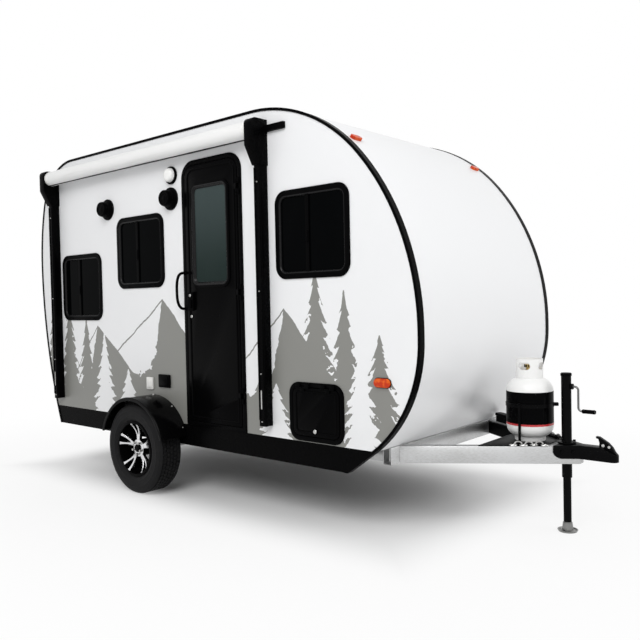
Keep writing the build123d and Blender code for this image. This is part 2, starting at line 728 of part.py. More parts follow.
with BuildPart() as grab_handle:
    with BuildLine(Plane.YZ.offset(GRAB_X)) as grab_path:
        low_leg = Line((GRAB_Y, GRAB_LOW), (GRAB_Y - GRAB_REACH + GRAB_BEND, GRAB_LOW))
        low_bend = JernArc(low_leg @ 1, (-1, 0), GRAB_BEND, -90)
        grip = Line(low_bend @ 1, (GRAB_Y - GRAB_REACH, GRAB_HIGH - GRAB_BEND))
        high_bend = JernArc(grip @ 1, (0, 1), GRAB_BEND, -90)
        Line(high_bend @ 1, (GRAB_Y, GRAB_HIGH))
    with BuildSketch(Plane(origin=grab_path.line @ 0, z_dir=grab_path.line % 0)):
        Circle(GRAB_R)
    sweep()
    with BuildSketch(Plane.XZ.offset(-GRAB_Y)):
        with Locations((GRAB_X, GRAB_LOW), (GRAB_X, GRAB_HIGH)):
            Circle(GRAB_FOOT_R)
    extrude(amount=GRAB_FOOT_T)
save(grab_handle.part, "grab_handle")

# Storage hatch, hinged along its top edge
HATCH_SPIGOT_LAP = HATCH_LAP + SEAM
with BuildPart() as hatch_frame:
    with BuildSketch(right):
        with Locations((HATCH_X, HATCH_Z)):
            RectangleRounded(HATCH_W, HATCH_H, HATCH_R)
    extrude(amount=FLANGE_T)
    with BuildSketch(right):
        with Locations((HATCH_X, HATCH_Z)):
            RectangleRounded(
                HATCH_W - 2 * HATCH_SPIGOT_LAP, HATCH_H - 2 * HATCH_SPIGOT_LAP, HATCH_R - HATCH_SPIGOT_LAP
            )
    extrude(amount=-WALL)
    with BuildSketch(hinge_plane):
        with Locations((HATCH_X, HATCH_Z)):
            RectangleRounded(HATCH_W - 2 * HATCH_STILE, HATCH_H - 2 * HATCH_STILE, HATCH_R - HATCH_STILE)
    extrude(amount=-HINGE_OUT - WALL, mode=Mode.SUBTRACT)
    for hinge_x in HATCH_HINGES:
        for step in (-KNUCKLE_STEP, KNUCKLE_STEP):
            with Locations((hinge_x + step, HINGE_Y, HATCH_AXIS_Z)):
                Cylinder(KNUCKLE_R, KNUCKLE_L, rotation=(0, 90, 0))
            with Locations((hinge_x + step, -HALF - FLANGE_T, HATCH_AXIS_Z + HINGE_SEAT)):
                Box(KNUCKLE_L, HINGE_OUT - FLANGE_T, HINGE_LEAF, align=(Align.CENTER, Align.MAX, Align.MIN))
save(hatch_frame.part, "hatch_frame")

with BuildPart() as hatch_door:
    with BuildSketch(leaf_plane):
        with Locations((HATCH_X, HATCH_Z)):
            RectangleRounded(HATCH_LEAF_W, HATCH_LEAF_H, HATCH_LEAF_R)
    extrude(amount=-HATCH_T)
    with BuildSketch(leaf_plane):
        with Locations((HATCH_X, HATCH_Z - HATCH_LEAF_H / 2 + HATCH_LOCK_RISE)):
            Circle(HATCH_LOCK_R)
    extrude(amount=HATCH_LOCK_T)
    for hinge_x in HATCH_HINGES:
        with Locations((hinge_x, HINGE_Y, HATCH_AXIS_Z)):
            Cylinder(KNUCKLE_R, KNUCKLE_L, rotation=(0, 90, 0))
            Box(KNUCKLE_L, HINGE_OUT - DOOR_PROUD, HINGE_LEAF, align=(Align.CENTER, Align.MIN, Align.MAX))
save(hatch_door.part, "hatch_door")

# Small fittings on the side walls
with BuildPart() as speakers:
    with BuildSketch(right):
        with Locations(*[(speaker_x, SPEAKER_Z) for speaker_x in SPEAKERS]):
            Circle(SPEAKER_R)
    extrude(amount=SPEAKER_T)
    with BuildSketch(side_plane(-1, SPEAKER_T)):
        with Locations(*[(speaker_x, SPEAKER_Z) for speaker_x in SPEAKERS]):
            Circle(DOME_R)
    extrude(amount=DOME_T, taper=DOME_TAPER)
save(speakers.part, "speakers")

with BuildPart() as porch_light:
    with BuildSketch(right):
        with Locations((PORCH_X, PORCH_Z)):
            Circle(PORCH_R)
    extrude(amount=PORCH_T)
    with BuildSketch(side_plane(-1, PORCH_T)):
        with Locations((PORCH_X, PORCH_Z)):
            Circle(LENS_R)
    extrude(amount=LENS_T, taper=LENS_TAPER)
save(porch_light.part, "porch_light")

with BuildPart() as side_markers:
    for side in SIDES:
        with BuildSketch(side_plane(side.sign)):
            with Locations((front_skin(MARKER_Z - MARKER_H / 2) - MARKER_SETBACK, MARKER_Z)):
                SlotOverall(MARKER_L, MARKER_H)
        extrude(amount=-side.sign * MARKER_T)
save(side_markers.part, "side_markers")

with BuildPart() as outlet_covers:
    for cover in COVERS:
        with BuildSketch(side_plane(cover.side)):
            with Locations((AXLE_X + cover.ahead, WHEEL_Z + FENDER_OUTER_R + cover.above)):
                RectangleRounded(cover.width, cover.height, COVER_R)
        extrude(amount=-cover.side * COVER_T)
save(outlet_covers.part, "outlet_covers")

# Lamps and the blank plate, seated on the curved skins
with BuildPart() as front_clearance_lamps:
    for side in SIDES:
        seat = Plane(
            origin=(LAMP_X, side.sign * (HALF - LAMP_INSET), LAMP_Z),
            x_dir=(0, 1, 0),
            z_dir=(sin(radians(LAMP_DEG)), 0, cos(radians(LAMP_DEG))),
        )
        with BuildSketch(seat.offset(-LAMP_SINK)):
            SlotOverall(LAMP_L, LAMP_W)
        extrude(amount=LAMP_SINK + LAMP_PROUD)
    extrude(outline(-HALF, -SEAM), amount=-BODY_WIDTH, mode=Mode.SUBTRACT)
save(front_clearance_lamps.part, "front_clearance_lamps")

REAR_LAMP_Z = REAR_BULGE_Z + REAR_LAMP_RISE
with BuildPart() as rear_clearance_lamps:
    with BuildSketch(Plane.YZ.offset(rear_skin(REAR_LAMP_Z - LAMP_W / 2) - LAMP_PROUD)):
        with Locations(*[(side.sign * (HALF - REAR_LAMP_INSET), REAR_LAMP_Z) for side in SIDES]):
            SlotOverall(LAMP_L, LAMP_W)
    extrude(amount=SKIN_DEPTH)
    extrude(outline(-HALF, -SEAM), amount=-BODY_WIDTH, mode=Mode.SUBTRACT)
save(rear_clearance_lamps.part, "rear_clearance_lamps")

TAIL_Z = SKIRT_TOP + TAIL_RISE
with BuildPart() as tail_lamps:
    with BuildSketch(Plane.YZ.offset(rear_skin(TAIL_Z + TAIL_H / 2) - TAIL_PROUD)):
        with Locations(*[(side.sign * (HALF - TAIL_INSET), TAIL_Z) for side in SIDES]):
            RectangleRounded(TAIL_W, TAIL_H, TAIL_R)
    extrude(amount=SKIN_DEPTH)
    extrude(outline(-HALF, -SEAM), amount=-BODY_WIDTH, mode=Mode.SUBTRACT)
save(tail_lamps.part, "tail_lamps")

PLATE_Z = SKIRT_TOP + PLATE_RISE
with BuildPart() as plate_holder:
    with BuildSketch(Plane.YZ.offset(rear_skin(PLATE_Z + PLATE_H / 2) - PLATE_PROUD)):
        with Locations((0, PLATE_Z)):
            RectangleRounded(PLATE_W, PLATE_H, PLATE_R)
    extrude(amount=SKIN_DEPTH)
    extrude(outline(-HALF, -SEAM), amount=-BODY_WIDTH, mode=Mode.SUBTRACT)
save(plate_holder.part, "plate_holder")

# Awning: two arms with heads that clear the edge trim, and the rolled cloth between the heads
trim_space = trim_band(-1, TRIM_LAP + SEAM, TRIM_PROUD + SEAM)
for arm in ARMS:
    with BuildPart() as awning_arm:
        with BuildSketch(Plane.XY.offset(ARM_LOW)):
            with Locations((arm.x, -HALF - ARM_D / 2)):
                RectangleRounded(ARM_W, ARM_D, ARM_R)
        extrude(amount=HEAD_LOW + HEAD_R - ARM_LOW)
        with BuildSketch(Plane.YZ.offset(arm.x - ARM_W / 2 - HEAD_LAP)):
            with BuildLine():
                back = Line((-HALF, HEAD_LOW), (-HALF, HEAD_TOP))
                top = Line(back @ 1, (-HALF - HEAD_D + HEAD_R, HEAD_TOP))
                crown = JernArc(top @ 1, (-1, 0), HEAD_R, 90)
                face = Line(crown @ 1, (-HALF - HEAD_D, HEAD_LOW + HEAD_CHEEK))
                Polyline(face @ 1, (-HALF - ARM_D - HEAD_STEP, HEAD_LOW), back @ 0)
            make_face()
        extrude(amount=ARM_W + 2 * HEAD_LAP)
        if arm.bracket:
            with Locations((arm.x, -HALF, ROOF_Z - BRACKET_DROP)):
                Box(arm.bracket + ARM_W / 2, BRACKET_T, BRACKET_H, align=(Align.MIN, Align.MAX, Align.CENTER))
        add(trim_space, mode=Mode.SUBTRACT)
    save(awning_arm.part, f"awning_arm_{arm.name}")

with BuildPart() as awning_roll:
    with BuildSketch(Plane.YZ.offset(ARM_REAR_X + ARM_W / 2 + HEAD_LAP)):
        with Locations((ROLL_Y, ROLL_Z)):
            Circle(ROLL_R)
    extrude(amount=ARM_FRONT_X - ARM_REAR_X - ARM_W - 2 * HEAD_LAP)
save(awning_roll.part, "awning_roll")

# Chassis: two box rails welded to cross members, the front beam ahead of the floor
CROSS_MEMBERS = (
    CHASSIS_REAR + BEAM_W / 2,
    AXLE_X - CROSS_BEHIND,
    AXLE_X + CROSS_AHEAD,
    BEAM_FRONT - CROSS_FRONT,
)
with BuildPart() as chassis:
    with BuildSketch(Plane.XY.offset(RAIL_LOW)):
        with Locations(*[((CHASSIS_REAR + BEAM_FRONT) / 2, side.sign * RAIL_Y) for side in SIDES]):
            Rectangle(BEAM_FRONT - CHASSIS_REAR, RAIL_W)
        with Locations(*[(cross_x, 0) for cross_x in CROSS_MEMBERS]):
            Rectangle(BEAM_W, 2 * RAIL_Y)
        with Locations((CHASSIS_FRONT, 0)):
            Rectangle(BEAM_W, 2 * BEAM_HALF, align=(Align.MIN, Align.CENTER))
    extrude(amount=RAIL_H)
    with Locations(*[(BEAM_FRONT - BEAM_W / 2, side.sign * BEAM_HALF, RAIL_LOW + RAIL_H / 2) for side in SIDES]):
        Box(BEAM_W - 2 * BEAM_WALL, 2 * BEAM_BORE, RAIL_H - 2 * BEAM_WALL, mode=Mode.SUBTRACT)
save(chassis.part, "chassis")

# Tongue rails, mitred along the centre plane and notched for the jack
RAIL_SLANT = RAIL_W / cos(TONGUE_ANGLE)
MEET_X = TONGUE_TIP_X - (RAIL_SLANT + TIP_GAP - TIP_HALF) / tan(TONGUE_ANGLE)
for side in SIDES:
    with BuildPart() as tongue_rail:
        with BuildSketch(Plane.XY.offset(RAIL_LOW)):
            with BuildLine():
                Polyline(
                    (BEAM_FRONT, side.sign * tongue_edge(BEAM_FRONT)),
                    (TONGUE_TIP_X, side.sign * TIP_HALF),
                    (TONGUE_TIP_X, side.sign * TIP_GAP),
                    (MEET_X, side.sign * TIP_GAP),
                    (BEAM_FRONT, side.sign * (tongue_edge(BEAM_FRONT) - RAIL_SLANT)),
                    close=True,
                )
            make_face()
            with Locations((JACK_X, 0)):
                Circle(JACK_HOLE, mode=Mode.SUBTRACT)
        extrude(amount=RAIL_H)
    save(tongue_rail.part, f"tongue_rail_{side.name}")

# Rubber torsion axle: square tube, trailing arms and spindles
TUBE_X = AXLE_X + TUBE_TRAIL
TUBE_Z = RAIL_LOW - TUBE_PAD - TUBE / 2
TUBE_HALF_L = HALF - TUBE_INSET
with BuildPart() as axle:
    with Locations((TUBE_X, 0, TUBE_Z)):
        Box(TUBE, 2 * TUBE_HALF_L, TUBE)
    for side in SIDES:
        with Locations((TUBE_X, side.sign * RAIL_Y, RAIL_LOW)):
            Box(PAD_L, PAD_W, TUBE_PAD, align=(Align.CENTER, Align.CENTER, Align.MAX))
        with BuildSketch(Plane.XZ.offset(-side.sign * TUBE_HALF_L)):
            with BuildLine():
                Polyline(
                    (TUBE_X + TUBE / 2, TUBE_Z - TUBE / 2),
                    (TUBE_X + TUBE / 2, TUBE_Z + TUBE / 2),
                    (TUBE_X - TUBE / 2, TUBE_Z + TUBE / 2),
                    (AXLE_X - TRAIL_ARM_HALF, WHEEL_Z + TRAIL_ARM_HALF),
                    (AXLE_X - TRAIL_ARM_HALF, WHEEL_Z - TRAIL_ARM_HALF),
                    close=True,
                )
            make_face()
        extrude(amount=-side.sign * TRAIL_ARM_T)
        with BuildSketch(Plane.XZ.offset(-side.sign * TUBE_HALF_L)):
            with Locations((AXLE_X, WHEEL_Z)):
                Circle(SPINDLE_R)
        extrude(amount=-side.sign * (WHEEL_Y + SPINDLE_REACH - TUBE_HALF_L))
save(axle.part, "axle")

# Coupler: folded steel channel over the rail ends, with a ball socket in its sloped nose, and its latch
REAR_HALF = tongue_edge(COUPLER_REAR) + COUPLER_T / cos(TONGUE_ANGLE)
NECK_X = COUPLER_REAR + (REAR_HALF - NOSE_HALF) / tan(TONGUE_ANGLE)
CHANNEL_REAR = COUPLER_REAR - COUPLER_T
CHANNEL_TIP = TONGUE_TIP_X + COUPLER_T / 2
with BuildPart() as coupler:
    with BuildSketch(Plane.XY.offset(COUPLER_LOW)):
        with BuildLine():
            near = Polyline(
                (COUPLER_REAR, -REAR_HALF), (NECK_X, -NOSE_HALF), (NOSE_X - NOSE_HALF, -NOSE_HALF)
            )
            nose = JernArc(near @ 1, (1, 0), NOSE_HALF, 180)
            far = Polyline(nose @ 1, (NECK_X, NOSE_HALF), (COUPLER_REAR, REAR_HALF))
            Line(far @ 1, near @ 0)
        make_face()
    extrude(amount=COUPLER_H)
    with BuildSketch(Plane.XY.offset(COUPLER_LOW)):
        with BuildLine():
            Polyline(
                (CHANNEL_REAR, -tongue_edge(CHANNEL_REAR)),
                (CHANNEL_TIP, -tongue_edge(CHANNEL_TIP)),
                (CHANNEL_TIP, tongue_edge(CHANNEL_TIP)),
                (CHANNEL_REAR, tongue_edge(CHANNEL_REAR)),
                close=True,
            )
        make_face()
    extrude(amount=RAIL_TOP - COUPLER_LOW, mode=Mode.SUBTRACT)
    with BuildSketch(Plane.XY.offset(COUPLER_LOW)):
        with Locations((BALL_X, 0)):
            Circle(BALL_R)
    extrude(amount=BALL_SINK, mode=Mode.SUBTRACT)
    with Locations((BALL_X, 0, COUPLER_LOW + BALL_SINK)):
        Sphere(BALL_R, mode=Mode.SUBTRACT)
    with Locations((JACK_X, 0, RAIL_TOP)):
        Cylinder(JACK_HOLE, COUPLER_H, mode=Mode.SUBTRACT)
    with BuildSketch(Plane.XZ.offset(-REAR_HALF)):
        with BuildLine():
            heel = JernArc((COUPLER_REAR, COUPLER_LOW + COUPLER_HEEL_R), (0, -1), COUPLER_HEEL_R, 90)
            Polyline(heel @ 1, (COUPLER_REAR, COUPLER_LOW), heel @ 0)
        make_face()
        with BuildLine():
            Polyline(
                (NOSE_X - NOSE_FALL_L, COUPLER_TOP),
                (NOSE_X + SEAM, nose_top(-SEAM)),
                (NOSE_X + SEAM, COUPLER_TOP),
                close=True,
            )
        make_face()
    extrude(amount=2 * REAR_HALF, mode=Mode.SUBTRACT)
save(coupler.part, "coupler")

with BuildPart() as coupler_latch:
    with BuildSketch(Plane.XZ.offset(-LEVER_W / 2)):
        with BuildLine():
            Polyline(
                (NOSE_X - NOSE_FALL_L, COUPLER_TOP),
                (NOSE_X - LEVER_SETBACK, nose_top(LEVER_SETBACK)),
                (NOSE_X - LEVER_SETBACK, nose_top(LEVER_SETBACK) + LEVER_T),
                *[(NOSE_X - setback, COUPLER_TOP + rise) for setback, rise in LEVER_LINE],
                (NOSE_X - LEVER_HEEL, COUPLER_TOP),
                close=True,
            )
        make_face()
        for setback, rise, radius in LEVER_HOLES:
            with Locations((NOSE_X - setback, COUPLER_TOP + rise)):
                Circle(radius, mode=Mode.SUBTRACT)
    extrude(amount=LEVER_W)
save(coupler_latch.part, "coupler_latch")

# Tongue jack: fixed tube with its mounting flange, sliding leg with the foot, and the crank
with BuildPart() as jack_tube:
    with BuildSketch(Plane.XY.offset(JACK_LOW)):
        with Locations((JACK_X, 0)):
            Circle(JACK_R)
            Circle(JACK_R - JACK_WALL, mode=Mode.SUBTRACT)
    extrude(amount=JACK_H)
    with BuildSketch(Plane.XY.offset(JACK_LOW)):
        with Locations((JACK_X, 0)):
            Circle(JACK_R)
            Circle(LEG_R + LEG_GAP, mode=Mode.SUBTRACT)
    extrude(amount=BUSH_L)
    with BuildSketch(Plane.XY.offset(JACK_TOP)):
        with Locations((JACK_X, 0)):
            Circle(JACK_R + CAP_LAP)
    extrude(amount=CAP_T)
    with BuildSketch(Plane.XY.offset(COUPLER_TOP)):
        with Locations((JACK_X, 0)):
            Circle(JACK_FLANGE_R)
            Circle(JACK_R - JACK_WALL / 2, mode=Mode.SUBTRACT)
    extrude(amount=JACK_FLANGE_T)
    with BuildSketch(Plane.YZ.offset(JACK_X + JACK_R - JACK_WALL / 2)):
        with Locations((0, CRANK_Z)):
            Circle(BOSS_R)
    extrude(amount=JACK_WALL / 2 + BOSS_L)
save(jack_tube.part, "jack_tube")

with BuildPart() as jack_leg:
    with BuildSketch(Plane.XY.offset(LEG_LOW)):
        with Locations((JACK_X, 0)):
            Circle(LEG_R)
    extrude(amount=LEG_L)
    with BuildSketch(Plane(origin=(JACK_X, 0, 0), x_dir=(1, 0, 0), z_dir=(0, -1, 0))):
        with BuildLine():
            Polyline(
                (0, 0),
                (FOOT_R - FOOT_DISH / 2, 0),
                (FOOT_R, FOOT_DISH),
                (FOOT_R - FOOT_DISH / 2, FOOT_DISH),
                (FOOT_R - FOOT_DISH, FOOT_DISH / 2),
                (FOOT_ROOT_R, FOOT_DISH),
                (FOOT_NECK_R, FOOT_H),
                (0, FOOT_H),
                close=True,
            )
        make_face()
    revolve(axis=Axis((JACK_X, 0, 0), (0, 0, 1)))
save(jack_leg.part, "jack_leg")

CRANK_X = JACK_X + JACK_R + BOSS_L
with BuildPart() as jack_crank:
    with BuildLine(Plane.XZ) as crank_path:
        stub = Line((CRANK_X, CRANK_Z), (CRANK_X + CRANK_STUB, CRANK_Z))
        elbow = JernArc(stub @ 1, (1, 0), CRANK_BEND, -90)
        web = Line(elbow @ 1, elbow @ 1 - Vector(0, 0, CRANK_DROP - 2 * CRANK_BEND))
        turn = JernArc(web @ 1, (0, -1), CRANK_BEND, 90)
        Line(turn @ 1, turn @ 1 + Vector(GRIP_L + CRANK_R, 0))
    with BuildSketch(Plane(origin=crank_path.line @ 0, z_dir=crank_path.line % 0)):
        Circle(CRANK_R)
    sweep()
    with BuildSketch(Plane(origin=crank_path.line @ 1, z_dir=(-1, 0, 0))):
        Circle(GRIP_R)
    extrude(amount=GRIP_L)
save(jack_crank.part, "jack_crank")

# Gas cylinder on its tray, with the valve inside the collar
with BuildPart() as tank_tray:
    with BuildSketch(Plane.XY.offset(RAIL_TOP)):
        with BuildLine():
            Polyline(
                (TANK_X - TRAY_REAR, -tongue_edge(TANK_X - TRAY_REAR)),
                (TANK_X + TRAY_FRONT, -tongue_edge(TANK_X + TRAY_FRONT)),
                (TANK_X + TRAY_FRONT, tongue_edge(TANK_X + TRAY_FRONT)),
                (TANK_X - TRAY_REAR, tongue_edge(TANK_X - TRAY_REAR)),
                close=True,
            )
        make_face()
    extrude(amount=TRAY_T)
save(tank_tray.part, "tank_tray")


def vessel(inset):
    """Half section of the gas cylinder's shell, moved in by inset."""
    with BuildSketch(Plane(origin=(TANK_X, 0, TANK_Z), x_dir=(1, 0, 0), z_dir=(0, -1, 0))) as sketch:
        with BuildLine():
            side_r = TANK_R - inset
            floor = Line((0, TANK_FLOOR + inset), (TANK_FLOOR_R, TANK_FLOOR + inset))
            low = JernArc(floor @ 1, (1, 0), side_r - TANK_FLOOR_R, 90)
            shell = Line(low @ 1, (side_r, TANK_SIDE_LOW + TANK_SIDE_L))
            rim = (TANK_CROWN_R, TANK_CROWN - CROWN_SINK - inset)
            dome = TangentArc(shell @ 1, rim, tangent=(0, 1))
            crown = Line(dome @ 1, (0, TANK_CROWN - inset))
            Line(crown @ 1, floor @ 0)
        make_face()
    return sketch.sketch


with BuildPart() as propane_tank:
    spin = Axis((TANK_X, 0, 0), (0, 0, 1))
    revolve(vessel(0.0), axis=spin)
    with BuildSketch(Plane.XY.offset(TANK_Z)):
        with Locations((TANK_X, 0)):
            Circle(TANK_FOOT_R + TANK_FOOT_T)
            Circle(TANK_FOOT_R, mode=Mode.SUBTRACT)
    extrude(amount=TANK_FOOT_H)
    with BuildSketch(Plane.XY.offset(TANK_Z + COLLAR_LOW)):
        with Locations((TANK_X, 0)):
            Circle(COLLAR_R + COLLAR_T)
            Circle(COLLAR_R, mode=Mode.SUBTRACT)
    extrude(amount=COLLAR_TOP - COLLAR_LOW)
    revolve(vessel(TANK_T), axis=spin, mode=Mode.SUBTRACT)
    for plane in (Plane.YZ.offset(TANK_X), Plane(origin=(TANK_X, 0, 0), x_dir=(1, 0, 0), z_dir=(0, -1, 0))):
        with BuildSketch(plane):
            with Locations((0, TANK_Z + HAND_HOLE_Z)):
                SlotOverall(HAND_HOLE_W, HAND_HOLE_H)
        extrude(amount=TANK_R, both=True, mode=Mode.SUBTRACT)
save(propane_tank.part, "propane_tank")

VALVE_Z = TANK_Z + TANK_CROWN
with BuildPart() as tank_valve:
    with BuildSketch(Plane.XY.offset(VALVE_Z)):
        with Locations((TANK_X, 0)):
            Circle(VALVE_R)
    extrude(amount=VALVE_H)
    with BuildSketch(Plane.XY.offset(VALVE_Z + VALVE_H)):
        with Locations((TANK_X, 0)):
            Circle(HANDWHEEL_R)
    extrude(amount=HANDWHEEL_T)
    with BuildSketch(Plane.XZ):
        with Locations((TANK_X, VALVE_Z + OUTLET_RISE)):
            Circle(OUTLET_R)
    extrude(amount=OUTLET_L)
save(tank_valve.part, "tank_valve")

# Fenders, tyres and rims with forked spokes
for side in SIDES:
    with BuildPart() as fender:
        for inner_r, start, reach in (
            (FENDER_R, 0.0, FENDER_W),
            (FENDER_R - FENDER_LIP, FENDER_W - FENDER_T, FENDER_T),
        ):
            with BuildSketch(side_plane(side.sign, start)):
                with Locations((AXLE_X, WHEEL_Z)):
                    Circle(FENDER_OUTER_R)
                    Circle(inner_r, mode=Mode.SUBTRACT)
                with Locations((AXLE_X, WHEEL_Z + FENDER_RISE)):
                    Rectangle(FAR, FAR, align=(Align.CENTER, Align.MAX), mode=Mode.SUBTRACT)
            extrude(amount=-side.sign * reach)
    save(fender.part, f"fender_{side.name}")

    hub = Plane(origin=(AXLE_X, side.sign * WHEEL_Y, WHEEL_Z), x_dir=(0, 1, 0), z_dir=(1, 0, 0))
    spin = Axis((AXLE_X, 0, WHEEL_Z), (0, 1, 0))
    half_w = TYRE_W / 2
    with BuildPart() as tyre:
        with BuildSketch(hub):
            with BuildLine():
                bead = Line((BEAD_HALF, BEAD_R), (BEAD_HALF, tyre_height(0.03)))
                wall_out = ThreePointArc(
                    bead @ 1, (half_w, tyre_height(0.43)), (half_w - SIDE_INSET, tyre_height(0.84))
                )
                shoulder = ThreePointArc(
                    wall_out @ 1, (half_w - SHOULDER_INSET, tyre_height(0.94)), (half_w - TREAD_INSET, TYRE_R)
                )
                tread = Line(shoulder @ 1, (TREAD_INSET - half_w, TYRE_R))
                far_shoulder = ThreePointArc(
                    tread @ 1,
                    (SHOULDER_INSET - half_w, tyre_height(0.94)),
                    (SIDE_INSET - half_w, tyre_height(0.84)),
                )
                far_wall = ThreePointArc(
                    far_shoulder @ 1, (-half_w, tyre_height(0.43)), (-BEAD_HALF, tyre_height(0.03))
                )
                far_bead = Polyline(
                    far_wall @ 1,
                    (-BEAD_HALF, BEAD_R),
                    (BEAD_T - BEAD_HALF, BEAD_R),
                    (BEAD_T - BEAD_HALF, tyre_height(0.08)),
                    (CARCASS_T - half_w, tyre_height(0.43)),
                    (CARCASS_T + CARCASS_R - half_w, tyre_height(0.77)),
                )
                Polyline(
                    far_bead @ 1,
                    (half_w - CARCASS_T - CARCASS_R, tyre_height(0.77)),
                    (half_w - CARCASS_T, tyre_height(0.43)),
                    (BEAD_HALF - BEAD_T, tyre_height(0.08)),
                    (BEAD_HALF - BEAD_T, BEAD_R),
                    bead @ 0,
                )
            make_face()
        revolve(axis=spin)
    save(tyre.part, f"tyre_{side.name}")

    seat = BEAD_HALF + SEAM
    face = Plane.XZ.offset(-side.sign * (WHEEL_Y + RIM_FACE))
    with BuildPart() as rim:
        with BuildSketch(hub):
            with BuildLine():
                Polyline(
                    (-seat - RIM_LIP_T, BEAD_R - RIM_WALL),
                    (-seat - RIM_LIP_T, RIM_FLANGE_R),
                    (-seat, RIM_FLANGE_R),
                    (-seat, BEAD_R - SEAM),
                    (seat, BEAD_R - SEAM),
                    (seat, RIM_FLANGE_R),
                    (seat + RIM_LIP_T, RIM_FLANGE_R),
                    (seat + RIM_LIP_T, BEAD_R - RIM_WALL),
                    close=True,
                )
            make_face()
        revolve(axis=spin)
        with BuildSketch(face):
            with Locations((AXLE_X, WHEEL_Z)):
                with PolarLocations(0, SPOKES, start_angle=90):
                    for fork in (-1, 1):
                        Polygon(
                            (SPOKE_ROOT, -fork),
                            (SPOKE_ROOT, fork * SPOKE_HALF),
                            (SPOKE_ROOT + FORK_L, fork * FORK_KNEE),
                            (BEAD_R - RIM_WALL / 2, fork * FORK_OUTER),
                            (BEAD_R - RIM_WALL / 2, fork * FORK_INNER),
                            (SPOKE_ROOT + FORK_L, -fork),
                            align=None,
                        )
        extrude(amount=side.sign * RIM_FACE_T)
        with BuildSketch(Plane.XZ.offset(-side.sign * (WHEEL_Y + RIM_FACE + HUB_PROUD))):
            with Locations((AXLE_X, WHEEL_Z)):
                Circle(HUB_R)
        extrude(amount=side.sign * HUB_L)
        with BuildSketch(Plane.XZ.offset(-side.sign * (WHEEL_Y + RIM_FACE - HUB_CAP))):
            with Locations((AXLE_X, WHEEL_Z)):
                Circle(SPINDLE_R + SPINDLE_GAP)
        extrude(amount=side.sign * HUB_L, mode=Mode.SUBTRACT)
    save(rim.part, f"rim_{side.name}")

# Roof vent: frame through the roof and a lid hinged at its front edge
LUGS = (-LUG_SPREAD, LUG_SPREAD)
with BuildPart() as roof_vent_base:
    with BuildSketch(Plane.XY.offset(ROOF_Z)):
        with Locations((VENT_X, 0)):
            Rectangle(VENT_W, VENT_W)
        with Locations(*[(VENT_X + VENT_W / 2, lug_y) for lug_y in LUGS]):
            Rectangle(LUG_L, LUG_W, align=(Align.MIN, Align.CENTER))
    extrude(amount=VENT_H)
    with Locations(*[(VENT_AXIS_X, lug_y - VENT_STEP, VENT_AXIS_Z) for lug_y in LUGS]):
        Cylinder(VENT_KNUCKLE_R, VENT_KNUCKLE_L, rotation=(90, 0, 0))
        Box(
            2 * VENT_KNUCKLE_R,
            VENT_KNUCKLE_L,
            VENT_AXIS_Z - ROOF_Z - VENT_H / 2,
            align=(Align.CENTER, Align.CENTER, Align.MAX),
        )
    with BuildSketch(Plane.XY.offset(ROOF_Z)):
        with Locations((VENT_X, 0)):
            Rectangle(VENT_HOLE - 2 * SEAM, VENT_HOLE - 2 * SEAM)
    extrude(amount=-WALL)
    with BuildSketch(Plane.XY.offset(ROOF_Z + VENT_H)):
        with Locations((VENT_X, 0)):
            Rectangle(VENT_HOLE - 2 * VENT_LIP, VENT_HOLE - 2 * VENT_LIP)
    extrude(amount=-WALL - VENT_H, mode=Mode.SUBTRACT)
save(roof_vent_base.part, "roof_vent_base")

with BuildPart() as roof_vent_lid:
    with BuildSketch(Plane.XY.offset(LID_LOW)):
        with Locations((VENT_X, 0)):
            RectangleRounded(LID_W, LID_W, LID_R)
    extrude(amount=LID_H, taper=LID_TAPER)
    with BuildSketch(Plane.XY.offset(LID_LOW)):
        with Locations((VENT_X, 0)):
            RectangleRounded(LID_W - 2 * LID_T, LID_W - 2 * LID_T, LID_R - LID_T)
    extrude(amount=LID_H - LID_T, taper=LID_TAPER, mode=Mode.SUBTRACT)
    with Locations(*[(VENT_AXIS_X, lug_y + VENT_STEP, VENT_AXIS_Z) for lug_y in LUGS]):
        Cylinder(VENT_KNUCKLE_R, VENT_KNUCKLE_L, rotation=(90, 0, 0))
        Box(
            2 * VENT_KNUCKLE_R + LID_T / 2,
            VENT_KNUCKLE_L,
            2 * VENT_KNUCKLE_R,
            align=(Align.MAX, Align.CENTER, Align.CENTER),
        )
save(roof_vent_lid.part, "roof_vent_lid")
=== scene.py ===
"""Looks of a round-nosed travel trailer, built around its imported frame.

Metres, in the frame's own axes: +X to the hitch, +Y to the trailer's left, +Z up, ground at Z = 0.
"""
import logging
import math
from dataclasses import dataclass, field
from enum import Enum
from functools import cache
from typing import Callable, Iterable, Optional, Sequence, Union

import bmesh
import bpy
from mathutils import Matrix, Vector


